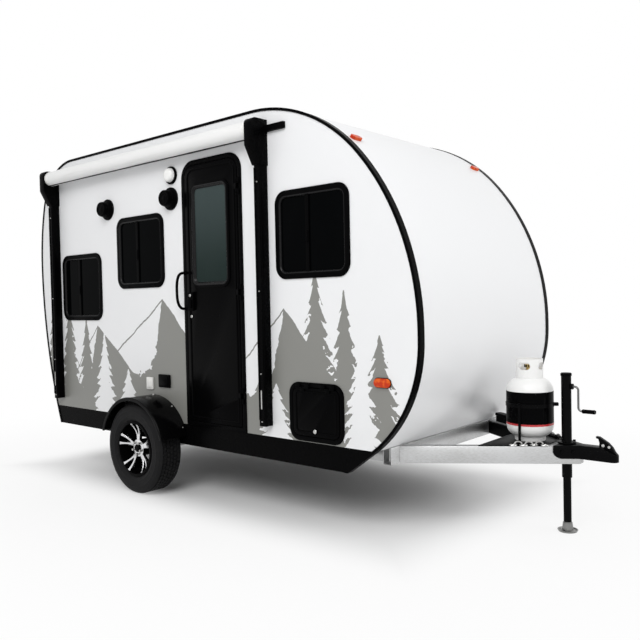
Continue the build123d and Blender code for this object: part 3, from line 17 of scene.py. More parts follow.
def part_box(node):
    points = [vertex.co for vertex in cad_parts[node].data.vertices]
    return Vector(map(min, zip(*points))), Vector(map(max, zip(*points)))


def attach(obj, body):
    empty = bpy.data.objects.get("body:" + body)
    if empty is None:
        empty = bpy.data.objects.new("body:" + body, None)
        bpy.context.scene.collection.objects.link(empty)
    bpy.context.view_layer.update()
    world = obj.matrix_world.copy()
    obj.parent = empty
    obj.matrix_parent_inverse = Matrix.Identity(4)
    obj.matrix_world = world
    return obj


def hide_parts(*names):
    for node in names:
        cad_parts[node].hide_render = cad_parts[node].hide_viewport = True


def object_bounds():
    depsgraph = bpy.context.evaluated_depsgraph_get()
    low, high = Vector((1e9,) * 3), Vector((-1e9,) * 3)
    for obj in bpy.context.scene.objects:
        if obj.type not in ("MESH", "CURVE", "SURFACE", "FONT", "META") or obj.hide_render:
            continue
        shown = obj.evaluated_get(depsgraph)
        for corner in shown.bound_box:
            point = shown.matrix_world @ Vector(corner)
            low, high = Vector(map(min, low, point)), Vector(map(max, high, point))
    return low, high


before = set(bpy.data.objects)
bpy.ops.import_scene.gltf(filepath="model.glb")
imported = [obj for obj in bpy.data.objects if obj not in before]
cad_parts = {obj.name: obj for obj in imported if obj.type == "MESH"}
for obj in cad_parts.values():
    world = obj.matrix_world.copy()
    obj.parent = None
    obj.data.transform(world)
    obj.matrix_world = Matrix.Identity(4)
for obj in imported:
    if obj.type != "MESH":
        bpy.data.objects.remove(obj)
CAD_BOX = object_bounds()

logging.basicConfig(level=logging.INFO, format="%(message)s")
LOG = logging.getLogger("trailer")

TRAILER = "trailer"
Triple = tuple[float, float, float]
Colour = Triple
Span = tuple[float, float]
Profile = tuple[Span, ...]
Number = Union[float, "Sock"]

UP = Vector((0, 0, 1))
AHEAD = Vector((1, 0, 0))
REARWARD = Vector((-1, 0, 0))


class SideOf(Enum):
    """A side of the trailer, with the sign of its Y axis."""

    RIGHT = -1
    LEFT = 1

    @property
    def label(self) -> str:
        """Lower-case word used in node names."""
        return self.name.lower()

    @property
    def out(self) -> Vector:
        """Unit vector out of this side's wall."""
        return Vector((0, self.value, 0))


class Sock:
    """A shader socket that takes part in Python arithmetic."""

    def __init__(self, kit: "NodeKit", socket: bpy.types.NodeSocket) -> None:
        """Wrap one output socket of a material's tree."""
        self.kit = kit
        self.socket = socket

    def _math(
        self, operation: str, first: Number, second: Number = 0.0, third: Number = 0.0
    ) -> "Sock":
        """Add one Math node."""
        values = {0: first, 1: second, 2: third}
        return self.kit.node("ShaderNodeMath", {"operation": operation}, values)

    def __add__(self, other: Number) -> "Sock":
        """Sum."""
        return self._math("ADD", self, other)

    __radd__ = __add__

    def __sub__(self, other: Number) -> "Sock":
        """Difference."""
        return self._math("SUBTRACT", self, other)

    def __rsub__(self, other: Number) -> "Sock":
        """Difference with the socket on the right."""
        return self._math("SUBTRACT", other, self)

    def __mul__(self, other: Number) -> "Sock":
        """Product."""
        return self._math("MULTIPLY", self, other)

    __rmul__ = __mul__

    def __truediv__(self, other: Number) -> "Sock":
        """Quotient."""
        return self._math("DIVIDE", self, other)

    def __abs__(self) -> "Sock":
        """Absolute value."""
        return self._math("ABSOLUTE", self)

    def __lt__(self, other: Number) -> "Sock":
        """1 where the socket is below the other, else 0."""
        return self._math("LESS_THAN", self, other)

    def __gt__(self, other: Number) -> "Sock":
        """1 where the socket is above the other, else 0."""
        return self._math("GREATER_THAN", self, other)

    def fract(self) -> "Sock":
        """Fractional part."""
        return self._math("FRACT", self)

    def sine(self) -> "Sock":
        """Sine of the socket in radians."""
        return self._math("SINE", self)

    def least(self, other: Number) -> "Sock":
        """Smaller of the two."""
        return self._math("MINIMUM", self, other)

    def most(self, other: Number) -> "Sock":
        """Larger of the two."""
        return self._math("MAXIMUM", self, other)

    def band(self, low: float, high: float) -> "Sock":
        """Carry 0 to 1 over to low to high."""
        return self * (high - low) + low

    def ramp(self, low: float, high: float) -> "Sock":
        """Smooth step from 0 at low to 1 at high."""
        settings = {"interpolation_type": "SMOOTHSTEP"}
        return self.kit.node("ShaderNodeMapRange", settings, {0: self, 1: low, 2: high, 3: 0.0, 4: 1.0})


class NodeKit:
    """Builds the node tree of one material or world around its shader."""

    white_rays = ("Is Camera Ray", "Is Glossy Ray", "Is Transmission Ray")

    def __init__(
        self, owner: Union[bpy.types.Material, bpy.types.World], shader: str = "Principled BSDF"
    ) -> None:
        """Start with the owner's plain tree.

        Args:
            owner: The material or world.
            shader: The name of the shader that its new tree holds.
        """
        owner.use_nodes = True
        self.owner = owner
        self.tree = owner.node_tree
        self.shader = self.tree.nodes[shader]
        self._place: Optional[tuple[Sock, Sock, Sock]] = None

    def node(
        self,
        kind: str,
        settings: Optional[dict] = None,
        values: Optional[dict] = None,
        out: Union[int, str] = 0,
    ) -> Sock:
        """Add any node: its settings first, then the values or links of its sockets.

        Args:
            kind: The node's type.
            settings: Attributes to set; stops holds a colour ramp's (place, colour) pairs.
            values: Socket name or index to a number, colour or Sock.
            out: The output to wrap.

        Returns:
            The wrapped output.
        """
        made = self.tree.nodes.new(kind)
        for key, value in (settings or {}).items():
            if key == "stops":
                while len(made.color_ramp.elements) < len(value):
                    made.color_ramp.elements.new(1.0)
                for element, (place, colour) in zip(made.color_ramp.elements, value):
                    element.position = place
                    element.color = (*colour, 1.0)
            else:
                setattr(made, key, value)
        for key, value in (values or {}).items():
            self.feed(made.inputs[key], value)
        return Sock(self, made.outputs[out])

    def feed(self, socket: bpy.types.NodeSocket, value: Union[Number, Colour]) -> None:
        """Link a Sock to a socket, or set a constant on it."""
        if isinstance(value, Sock):
            self.tree.links.new(value.socket, socket)
        elif isinstance(value, (int, float)):
            socket.default_value = value
        else:
            size = len(socket.default_value)
            socket.default_value = (*value, 1.0)[:size] if len(value) < size else value

    def coords(self) -> Sock:
        """Object coordinates as a vector."""
        return self.node("ShaderNodeTexCoord", out="Object")

    def place(self) -> tuple[Sock, Sock, Sock]:
        """Object coordinates as X, Y and Z."""
        if self._place is None:
            split = self.tree.nodes.new("ShaderNodeSeparateXYZ")
            self.feed(split.inputs[0], self.coords())
            self._place = tuple(Sock(self, socket) for socket in split.outputs)
        return self._place

    def stretched(self, factors: Triple) -> Sock:
        """Object coordinates scaled per axis, for patterns with a direction."""
        settings = {"operation": "MULTIPLY"}
        return self.node("ShaderNodeVectorMath", settings, {0: self.coords(), 1: factors})

    def noise(
        self, scale: float, detail: float = 2.0, rough: float = 0.5, vector: Optional[Sock] = None
    ) -> Sock:
        """Smooth noise from 0 to 1 at a scale in cycles per metre."""
        place = vector or self.coords()
        values = {"Vector": place, "Scale": scale, "Detail": detail, "Roughness": rough}
        return self.node("ShaderNodeTexNoise", {"noise_dimensions": "3D"}, values)

    def seen(self) -> Sock:
        """1 for rays from the camera or by way of a shiny or clear surface, else 0."""
        first, *others = (self.node("ShaderNodeLightPath", out=name) for name in self.white_rays)
        for ray in others:
            first = first.most(ray)
        return first

    def mix(self, factor: Number, first: Union[Colour, Sock], second: Union[Colour, Sock]) -> Sock:
        """Colour mix of two colours."""
        values = {"Factor": factor, 6: first, 7: second}
        return self.node("ShaderNodeMix", {"data_type": "RGBA"}, values, out=2)

    def bump(self, height: Sock, distance: float, strength: float = 1.0) -> None:
        """Feed a height in metres to the shader's normal."""
        values = {"Strength": strength, "Distance": distance, "Height": height}
        self.feed(self.shader.inputs["Normal"], self.node("ShaderNodeBump", {}, values))

    def surface(self, **sockets: Union[Number, Colour]) -> None:
        """Set the shader's sockets, with underscores for the spaces in their names."""
        for key, value in sockets.items():
            self.feed(self.shader.inputs[key.replace("_", " ")], value)


def deeper(colour: Colour) -> Colour:
    """The same colour at under half its brightness."""
    return tuple(channel * 0.45 for channel in colour)


@dataclass(frozen=True)
class Finish:
    """One named surface finish."""

    name: str
    slot: str

    def paint(self, kit: NodeKit) -> None:
        """Fill the material's tree."""
        raise NotImplementedError

    @cache
    def material(self) -> bpy.types.Material:
        """Make the material once and share it."""
        kit = NodeKit(bpy.data.materials.new(self.name))
        self.paint(kit)
        return kit.owner


@dataclass(frozen=True)
class Conifer:
    """One tree of the wall pattern: trunk place, foot height, height and half width in metres."""

    x: float
    foot: float
    height: float
    spread: float
    tiers: float


@dataclass(frozen=True)
class Ridge:
    """One peak of the wall pattern: top place and the run of each slope."""

    x: float
    top: float
    rear_slope: float
    front_slope: float


@dataclass(frozen=True)
class WhiteSheet(Finish):
    """Gloss white skin with faint waves and road dust low down."""

    white: Colour = (0.80, 0.805, 0.815)
    dust: Colour = (0.60, 0.60, 0.585)
    dust_line: Span = (0.40, 0.95)
    dust_share: float = 0.25
    dent_line: Span = (0.62, 1.0)
    dented: float = 0.0
    wave: float = 0.005
    gloss: Span = (0.36, 0.41)

    def skin(self, kit: NodeKit) -> Sock:
        """Base colour of the plain skin."""
        _, _, z = kit.place()
        stain = kit.noise(1.4, 1.0, 0.5) * (1 - z.ramp(*self.dust_line)) * self.dust_share
        return kit.mix(stain, self.white, self.dust)

    def paint(self, kit: NodeKit) -> None:
        """Gloss paint over slightly wavy sheet."""
        _, _, z = kit.place()
        kit.surface(Base_Color=self.skin(kit), Roughness=kit.noise(0.9, 0.0).band(*self.gloss))
        kit.surface(Coat_Weight=0.08, Coat_Roughness=0.12)
        dents = kit.noise(3.1, 0.0) * (1 - z.ramp(*self.dent_line)) * self.dented
        kit.bump(kit.noise(0.7, 0.0) + dents, self.wave)


@dataclass(frozen=True)
class PatternedSheet(WhiteSheet):
    """White skin with a grey landscape of ridges and conifers along its foot."""

    grey: Colour = (0.215, 0.215, 0.200)
    inner_face: float = 0.825
    steepness: float = 0.62
    wander: float = 0.10
    outline: float = 0.014
    snow_lean: Span = (0.10, 0.44)
    snow_foot: Span = (0.26, 0.76)
    jag: float = 2.6
    droop: Span = (1.20, 0.58)
    raggedness: Span = (0.45, 1.55)
    twig: float = 0.004
    ridges: tuple[Ridge, ...] = (
        Ridge(-1.50, 1.22, 0.55, 0.85),
        Ridge(-0.62, 1.42, 0.95, 0.62),
        Ridge(0.60, 1.34, 0.70, 0.58),
    )
    grey_trees: tuple[Conifer, ...] = (
        Conifer(-2.16, 0.50, 1.06, 0.17, 11),
        Conifer(-1.92, 0.42, 1.00, 0.21, 10),
        Conifer(-1.66, 0.42, 0.86, 0.19, 9),
        Conifer(0.86, 0.42, 1.16, 0.24, 12),
        Conifer(1.08, 0.42, 1.02, 0.20, 10),
        Conifer(1.33, 0.46, 0.72, 0.20, 8),
    )
    white_trees: tuple[Conifer, ...] = (
        Conifer(-1.40, 0.42, 0.74, 0.19, 9),
        Conifer(-1.08, 0.42, 0.46, 0.20, 6),
        Conifer(0.52, 0.42, 0.44, 0.20, 6),
        Conifer(1.19, 0.42, 0.70, 0.17, 9),
    )

    def tree(self, tree: Conifer, x: Sock, z: Sock, ragged: Sock) -> Sock:
        """Mask of one conifer with drooping tiers."""
        rise = (z - tree.foot) / tree.height
        step = (rise * tree.tiers + ragged * self.jag).fract()
        taper = (1.0 - rise) * tree.spread
        half = taper * step.band(*self.droop) * ragged.band(*self.raggedness) + self.twig
        return ((half - abs(x - tree.x)) > 0.0).least(rise < 1.0)

    def ridge(self, ridge: Ridge, x: Sock, z: Sock, rough: Sock) -> tuple[Sock, Sock]:
        """Mask of one peak and of the lit snow face on its rear slope."""
        across = x - ridge.x + rough.band(-self.wander / 2, self.wander / 2)
        fall = (across / ridge.front_slope).most(across / -ridge.rear_slope)
        below = ridge.top - fall * self.steepness - z
        lit = (across + (ridge.top - z) * rough.band(*self.snow_lean)) < 0.0
        high = (z - ridge.top + rough.band(*self.snow_foot)) > 0.0
        return below > 0.0, (below > self.outline).least(lit).least(high)

    def skin(self, kit: NodeKit) -> Sock:
        """White skin with the grey landscape over it."""
        x, y, z = kit.place()
        ragged = kit.noise(13.0, 3.0, 0.6)
        rough = kit.noise(4.0, 4.0, 0.6)
        grey = None
        for ridge in self.ridges:
            body, lit = self.ridge(ridge, x, z, rough)
            peak = body.least(1 - lit)
            grey = peak if grey is None else grey.most(peak)
        for tree in self.grey_trees:
            grey = grey.most(self.tree(tree, x, z, ragged))
        for tree in self.white_trees:
            grey = grey.least(1 - self.tree(tree, x, z, ragged))
        outside = abs(y) > self.inner_face
        return kit.mix(grey * outside, super().skin(kit), self.grey)


@dataclass(frozen=True)
class SatinBlack(Finish):
    """Black powder coat with orange peel, and dust that settles low."""

    black: Colour = (0.0010, 0.0010, 0.0012)
    dust: Colour = (0.008, 0.0076, 0.0072)
    dust_line: Span = (0.2, 0.9)
    dust_share: float = 0.25
    rough: float = 0.28
    swing: float = 0.07
    grain: float = 260.0
    peel: float = 0.0004
    shine: float = 0.022

    def paint(self, kit: NodeKit) -> None:
        """Fine grained black."""
        _, _, z = kit.place()
        haze = kit.noise(6.0, 4.0, 0.6) * (1 - z.ramp(*self.dust_line)) * self.dust_share
        rough = kit.noise(35.0, 3.0).band(self.rough - self.swing, self.rough + self.swing)
        kit.surface(Base_Color=kit.mix(haze, self.black, self.dust), Specular_IOR_Level=self.shine)
        kit.surface(Roughness=rough)
        kit.bump(kit.noise(self.grain, 2.0), self.peel, 0.5)


@dataclass(frozen=True)
class GlossBlack(SatinBlack):
    """Moulded black with a soft shine."""

    rough: float = 0.24
    grain: float = 90.0


@dataclass(frozen=True)
class TintedGlass(Finish):
    """Safety glass with a tint, faint smears and a painted reflection that lightens it towards the top.
    """

    tint: Colour = (0.0006, 0.0008, 0.0010)
    haze: Colour = (0.0030, 0.0034, 0.0038)
    haze_share: float = 0.30
    high_tint: Colour = (0.0006, 0.0008, 0.0010)
    high_line: Span = (1.5, 2.2)
    wipe: Triple = (1.0, 1.0, 0.35)
    gloss: Span = (0.02, 0.09)
    shine: float = 0.014

    def paint(self, kit: NodeKit) -> None:
        """Dark smooth pane, with a painted reflection lighter towards its top."""
        _, _, z = kit.place()
        smear = kit.noise(7.0, 3.0, 0.6, kit.stretched(self.wipe))
        # Painted reflection: the pane's colour lightens towards its top.
        body = kit.mix(z.ramp(*self.high_line), self.tint, self.high_tint)
        kit.surface(Base_Color=kit.mix(smear * self.haze_share, body, self.haze))
        kit.surface(Roughness=smear.band(*self.gloss), Specular_IOR_Level=self.shine)


@dataclass(frozen=True)
class LampLens(Finish):
    """Ribbed coloured lens, with painted highlights in brighter patches and painted shade along its
    prism ribs.
    """

    colour: Colour = (0.62, 0.040, 0.005)
    # Painted highlight: the brighter colour that noise patches of the lens take.
    glow: Colour = (0.90, 0.150, 0.014)
    glow_edge: Span = (0.42, 0.64)
    pitch: float = 0.006
    prism_share: float = 0.55
    prism_depth: float = 0.0012
    gloss: Span = (0.10, 0.20)

    def paint(self, kit: NodeKit) -> None:
        """Saturated plastic over a prism pattern, with painted highlights and painted shade along each
        prism rib.
        """
        x, y, _ = kit.place()
        prism = ((x + y) * (1.0 / self.pitch)).fract()
        # Painted highlight: noise patches go to the brighter glow colour.
        lit = kit.mix(kit.noise(36.0, 2.0, 0.5).ramp(*self.glow_edge), self.colour, self.glow)
        # Painted shade: each prism rib darkens towards a deeper copy of the lens colour.
        kit.surface(Base_Color=kit.mix(prism * self.prism_share, lit, deeper(self.colour)))
        kit.surface(Roughness=prism.band(*self.gloss), Specular_IOR_Level=0.15)
        kit.surface(Coat_Weight=0.10, Coat_Roughness=0.04)
        kit.bump(prism, self.prism_depth, 0.6)


@dataclass(frozen=True)
class WhitePlastic(Finish):
    """Plain white moulding, a little yellowed in patches."""

    white: Colour = (0.80, 0.80, 0.785)
    aged: Colour = (0.66, 0.64, 0.58)
    aged_share: float = 0.3
    rough: float = 0.34
    swing: float = 0.12
    grain: float = 0.0003

    def paint(self, kit: NodeKit) -> None:
        """Fine grained white."""
        yellowed = kit.noise(9.0, 4.0, 0.6) * self.aged_share
        kit.surface(Base_Color=kit.mix(yellowed, self.white, self.aged))
        kit.surface(Roughness=kit.noise(60.0, 2.0).band(self.rough, self.rough + self.swing))
        kit.bump(kit.noise(420.0, 2.0), self.grain, 0.4)


@dataclass(frozen=True)
class VinylCloth(Finish):
    """White awning vinyl on a woven scrim, with the turns of the roll showing and painted shade in its
    folds.
    """

    white: Colour = (0.82, 0.82, 0.815)
    fold: Colour = (0.62, 0.62, 0.61)
    fold_edge: Span = (0.52, 0.72)
    fold_share: float = 0.35
    fold_depth: float = 0.0022
    draw: Triple = (0.06, 1.0, 1.0)
    thread: float = 0.0011
    thread_share: float = 0.06
    matt: Span = (0.45, 0.60)

    def paint(self, kit: NodeKit) -> None:
        """Weave bump and soft lengthwise folds, with painted shade greying the folds."""
        x, _, z = kit.place()
        pace = math.tau / self.thread
        weave = (x * pace).sine() * (z * pace).sine()
        folds = kit.noise(26.0, 3.0, 0.55, kit.stretched(self.draw))
        # Painted shade: the cloth turns grey where the folds lie.
        painted_crease_shade = folds.ramp(*self.fold_edge) * self.fold_share
        kit.surface(Base_Color=kit.mix(painted_crease_shade, self.white, self.fold))
        kit.surface(Roughness=folds.band(*self.matt), Sheen_Weight=0.1)
        kit.bump(weave * self.thread_share + folds, self.fold_depth, 0.7)


class Run(Enum):
    """The axis that a rolled or drawn metal's lines follow."""

    ALONG_X = (1.0, 60.0, 60.0)
    ALONG_Y = (60.0, 1.0, 60.0)
    ALONG_Z = (60.0, 60.0, 1.0)
    SKEWED = (9.0, 9.0, 60.0)


@dataclass(frozen=True)
class BareMetal(Finish):
    """Metal with drawn lines, dull patches and grime."""

    bright: Colour = (0.60, 0.605, 0.61)
    dull: Colour = (0.47, 0.47, 0.465)
    dull_edge: Span = (0.36, 0.70)
    line_share: float = 0.65
    line_depth: float = 0.00012
    rough: float = 0.40
    run: Run = Run.SKEWED
    metallic: float = 1.0

    def paint(self, kit: NodeKit) -> None:
        """Streaks along the run and cloudy oxide."""
        lines = kit.noise(6.0, 3.0, 0.6, kit.stretched(self.run.value))
        cloud = kit.noise(3.0, 2.0, 0.5)
        oxide = (lines * self.line_share + cloud * (1 - self.line_share)).ramp(*self.dull_edge)
        kit.surface(Base_Color=kit.mix(oxide, self.bright, self.dull), Metallic=self.metallic)
        kit.surface(Roughness=cloud * 0.12 + lines * 0.06 + (self.rough - 0.08))
        kit.bump(lines, self.line_depth, 0.3)


@dataclass(frozen=True)
class WornEnamel(Finish):
    """Brushed-on enamel with chips that show bare metal."""

    colour: Colour = (0.0016, 0.0016, 0.0018)
    chip: Colour = (0.10, 0.095, 0.09)
    chip_edge: Span = (0.70, 0.74)
    rough: float = 0.32
    smoother: float = 0.10
    rougher: float = 0.12
    relief: float = 0.0008
    shine: float = 0.045

    def paint(self, kit: NodeKit) -> None:
        """Enamel, chips and scuffs."""
        chips = kit.noise(46.0, 5.0, 0.7).ramp(*self.chip_edge)
        scuff = kit.noise(9.0, 4.0, 0.65)
        rough = scuff.band(self.rough - self.smoother, self.rough + self.rougher)
        kit.surface(Base_Color=kit.mix(chips, self.colour, self.chip), Specular_IOR_Level=self.shine)
        kit.surface(Metallic=chips, Roughness=rough)
        kit.bump(scuff * 0.3 - chips * 0.25, self.relief, 0.6)


@dataclass(frozen=True)
class TwoTone(Finish):
    """Bare metal and paint that meet at a height, as on the jack leg."""

    lower: Colour = (0.24, 0.24, 0.235)
    upper: Colour = (0.0016, 0.0016, 0.0018)
    split: float = 0.056
    worn_edge: Span = (0.45, 0.75)
    worn_share: float = 0.6
    rough: Span = (0.26, 0.46)
    relief: float = 0.0006
    shine: float = 0.05

    def paint(self, kit: NodeKit) -> None:
        """Split by height, with scuffs over both."""
        _, _, z = kit.place()
        above = z > self.split
        scuff = kit.noise(22.0, 4.0, 0.65)
        worn = kit.mix(scuff.ramp(*self.worn_edge) * self.worn_share, self.lower, deeper(self.lower))
        kit.surface(Base_Color=kit.mix(above, worn, self.upper), Specular_IOR_Level=self.shine)
        kit.surface(Metallic=1 - above, Roughness=scuff.band(*self.rough))
        kit.bump(scuff, self.relief, 0.5)


@dataclass(frozen=True)
class TyreRubber(Finish):
    """Matt rubber, greyer where dust sits."""

    black: Colour = (0.0055, 0.0055, 0.006)
    dust: Colour = (0.020, 0.019, 0.018)
    dust_edge: Span = (0.45, 0.85)
    dust_share: float = 0.5
    matt: Span = (0.55, 0.75)
    pore: float = 0.0005

    def paint(self, kit: NodeKit) -> None:
        """Rubber with fine pores."""
        worn = kit.noise(18.0, 4.0, 0.65)
        dusty = worn.ramp(*self.dust_edge) * self.dust_share
        kit.surface(Base_Color=kit.mix(dusty, self.black, self.dust), Roughness=worn.band(*self.matt))
        kit.surface(Specular_IOR_Level=0.14)
        kit.bump(kit.noise(300.0, 2.0), self.pore, 0.5)


@dataclass(frozen=True)
class Plywood(Finish):
    """Sealed plywood floor with a black membrane under it."""

    pale: Colour = (0.40, 0.27, 0.15)
    dark: Colour = (0.22, 0.13, 0.065)
    dark_edge: Span = (0.35, 0.68)
    draw: Triple = (0.6, 9.0, 9.0)
    relief: float = 0.0006
    matt: Span = (0.5, 0.7)
    membrane: Colour = (0.009, 0.009, 0.010)
    membrane_top: float = 0.516

    def paint(self, kit: NodeKit) -> None:
        """Long wood grain over a black underside membrane."""
        _, _, z = kit.place()
        grain = kit.noise(5.0, 5.0, 0.6, kit.stretched(self.draw))
        wood = kit.mix(grain.ramp(*self.dark_edge), self.pale, self.dark)
        kit.surface(Base_Color=kit.mix(z < self.membrane_top, wood, self.membrane))
        kit.surface(Roughness=grain.band(*self.matt))
        kit.bump(grain, self.relief, 0.5)


SHEET = WhiteSheet("white_sheet", "white_skin", dented=2.2)
PATTERNED = PatternedSheet("patterned_sheet", "white_skin")
TRIM = SatinBlack("satin_black_trim", "black_trim")
PLASTIC = SatinBlack("grained_black_plastic", "black_plastic", rough=0.36, grain=420.0)
FENDER = SatinBlack("fender_black", "black_plastic", rough=0.20, grain=120.0, shine=0.07)
DOOR = GlossBlack("door_moulding", "door_black")
GLASS = TintedGlass("smoked_pane", "dark_glass")
# The door pane's lighter top colour is a painted reflection.
DOOR_GLASS = TintedGlass(
    "door_pane", "door_tint", tint=(0.008, 0.018, 0.016), haze=(0.030, 0.040, 0.038),
    high_tint=(0.044, 0.062, 0.062), shine=0.06
)
AMBER = LampLens("amber_prism", "amber_lens")
RED = LampLens("red_prism", "red_lens", colour=(0.44, 0.010, 0.010), glow=(0.66, 0.030, 0.026))
OPAL = WhitePlastic(
    "opal_lens", "white_lens", white=(0.86, 0.86, 0.85), aged=(0.80, 0.80, 0.78), rough=0.16
)
WHITE = WhitePlastic("white_moulding", "white_plastic")
CLOTH = VinylCloth("awning_vinyl", "awning_cloth")
ALUMINIUM = BareMetal("mill_aluminium", "bare_aluminium")
ZINC = BareMetal("zinc_plate", "zinc", bright=(0.60, 0.60, 0.59), dull=(0.38, 0.375, 0.36), rough=0.32)
CRANK = BareMetal("oiled_steel", "zinc", bright=(0.17, 0.17, 0.17), dull=(0.09, 0.09, 0.09), rough=0.38)
AXLE = BareMetal(
    "galvanised_axle", "axle_steel", bright=(0.50, 0.50, 0.50), dull=(0.33, 0.33, 0.33), rough=0.5
)
ENAMEL = WornEnamel("black_enamel", "coupler_black")
JACK_LEG = TwoTone("jack_leg_paint", "zinc")
TANK = WornEnamel(
    "white_enamel", "tank_white", colour=(0.80, 0.80, 0.79), chip=(0.60, 0.59, 0.57), shine=0.5
)
BRASS = BareMetal(
    "cast_brass", "valve_brass", bright=(0.66, 0.49, 0.20), dull=(0.38, 0.26, 0.10), rough=0.34
)
RUBBER = TyreRubber("tyre_rubber", "tyre")
ALLOY = BareMetal(
    "machined_alloy", "alloy", bright=(0.80, 0.80, 0.81), dull=(0.66, 0.66, 0.67), rough=0.24
)
POCKET = GlossBlack("black_pockets", "alloy")
PLATE = WhitePlastic("blank_plate", "plate_blank", white=(0.74, 0.74, 0.73))
PLY = Plywood("deck_plywood", "deck_ply")
GASKET = SatinBlack(
    "gasket_rubber", "black_trim", black=(0.004, 0.004, 0.0045), rough=0.26, grain=500.0, shine=0.16
)
SLEEVE = SatinBlack("sleeve_black", "black_plastic", rough=0.28, grain=60.0)
STRIPE = WhitePlastic(
    "sleeve_red", "red_lens", white=(0.48, 0.02, 0.025), aged=(0.36, 0.02, 0.02), rough=0.26
)

NODE_FINISHES: dict[Finish, tuple[str, ...]] = {
    PATTERNED: ("side_wall_right", "side_wall_left"),
    SHEET: ("front_panel", "roof_panel", "rear_panel"),
    TRIM: ("skirt_right", "skirt_left", "edge_trim_right", "edge_trim_left", "door_frame",
           "awning_arm_front", "awning_arm_rear"),
    PLASTIC: ("window_frames_right", "window_frames_left", "grab_handle", "hatch_frame",
              "speakers", "door_latch"),
    FENDER: ("fender_right", "fender_left"),
    DOOR: ("entry_door", "hatch_door"),
    GLASS: ("window_glass_right", "window_glass_left"),
    DOOR_GLASS: ("door_glass",),
    AMBER: ("side_markers", "front_clearance_lamps"),
    RED: ("rear_clearance_lamps", "tail_lamps"),
    OPAL: ("porch_light",),
    WHITE: ("outlet_covers", "roof_vent_base", "roof_vent_lid"),
    PLATE: ("plate_holder",),
    CLOTH: ("awning_roll",),
    ALUMINIUM: ("chassis", "tongue_rail_right", "tongue_rail_left", "tank_tray"),
    AXLE: ("axle",),
    ENAMEL: ("coupler", "coupler_latch", "jack_tube"),
    JACK_LEG: ("jack_leg",),
    CRANK: ("jack_crank",),
    TANK: ("propane_tank",),
    BRASS: ("tank_valve",),
    RUBBER: ("tyre_right", "tyre_left"),
    ALLOY: ("rim_right", "rim_left"),
    PLY: ("floor_deck",),
}


def dress_nodes() -> None:
    """Give every CAD node its finish."""
    for finish, names in NODE_FINISHES.items():
        for name in names:
            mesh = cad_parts[name].data
            mesh.materials.clear()
            mesh.materials.append(finish.material())
            LOG.info("finish %s on %s", finish.name, name)


Loop = list[Vector]
Flat = list[tuple[float, float]]


@cache
def box(node: str) -> tuple[Vector, Vector]:
    """Low and high corners of a CAD node, measured once."""
    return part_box(node)


def settle(
    name: str,
    mesh: bpy.types.Mesh,
    body: str,
    finishes: Sequence[Finish],
    replaces: Sequence[str] = (),
    crease: float = 35.0,
) -> bpy.types.Object:
    """Turn a finished mesh into a piece that rides on a body.

    Args:
        name: The piece's name.
        mesh: Its mesh, in the frame's own place.
        body: The body it rides on.
        finishes: One finish for each material index.
        replaces: CAD nodes that the piece stands for.
        crease: Edges steeper than this many degrees stay sharp.

    Returns:
        The piece's object.
    """
    marks = [face.material_index for face in mesh.polygons]
    mesh.materials.clear()
    for finish in finishes:
        mesh.materials.append(finish.material())
    mesh.polygons.foreach_set("material_index", marks)
    mesh.shade_smooth()
    mesh.set_sharp_from_angle(angle=math.radians(crease))
    piece = bpy.data.objects.new(name, mesh)
    bpy.context.scene.collection.objects.link(piece)
    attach(piece, body)
    if replaces:
        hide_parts(*replaces)
    LOG.info("piece %s on %s, %d faces", name, body, len(mesh.polygons))
    return piece


def evaluated(source: bpy.types.Object) -> bpy.types.Mesh:
    """Bake an object's modifiers to a plain mesh and drop the object."""
    graph = bpy.context.evaluated_depsgraph_get()
    mesh = bpy.data.meshes.new_from_object(source.evaluated_get(graph))
    source.modifiers.clear()
    bpy.data.objects.remove(source)
    return mesh


class Shape:
    """Gathers the faces of one piece, then makes the piece."""

    def __init__(self) -> None:
        """Start with no faces."""
        self.verts: Loop = []
        self.faces: list[list[int]] = []
        self.marks: list[int] = []

    def loft(
        self, loops: Sequence[Loop], mark: int = 0, ring: bool = False, ends: bool = True
    ) -> "Shape":
        """Skin closed loops in order.

        Args:
            loops: Closed loops with the same number of points.
            mark: Material index of the new faces.
            ring: Join the last loop to the first one.
            ends: Fill the end loops where the loft isn't a ring.

        Returns:
            The shape, so that calls can follow each other.
        """
        start, count = len(self.verts), len(loops[0])
        for loop in loops:
            self.verts.extend(loop)
        rows = [start + row * count for row in range(len(loops))]
        for low, high in zip(rows, rows[1:] + ([rows[0]] if ring else [])):
            for step in range(count):
                beside = (step + 1) % count
                self.faces.append([low + step, low + beside, high + beside, high + step])
                self.marks.append(mark)
        if ends and not ring:
            self.faces.append([rows[0] + step for step in reversed(range(count))])
            self.faces.append([rows[-1] + step for step in range(count)])
            self.marks.extend((mark, mark))
        return self

    def piece(
        self,
        name: str,
        body: str,
        finishes: Sequence[Finish],
        replaces: Sequence[str] = (),
        crease: float = 35.0,
    ) -> bpy.types.Object:
        """Close the seams, point the faces outwards and settle the piece."""
        mesh = bpy.data.meshes.new(name)
        mesh.from_pydata(self.verts, [], self.faces)
        mesh.polygons.foreach_set("material_index", self.marks)
        work = bmesh.new()
        work.from_mesh(mesh)
        bmesh.ops.remove_doubles(work, verts=work.verts, dist=1e-5)
        bmesh.ops.recalc_face_normals(work, faces=work.faces)
        work.to_mesh(mesh)
        work.free()
        return settle(name, mesh, body, finishes, replaces, crease)


def circle(centre: Vector, axis: Vector, radius: float, count: int) -> Loop:
    """Round loop about an axis."""
    turn = axis.to_track_quat("Z", "Y")
    steps = [math.tau * step / count for step in range(count)]
    return [centre + turn @ Vector((radius * math.cos(a), radius * math.sin(a), 0.0)) for a in steps]


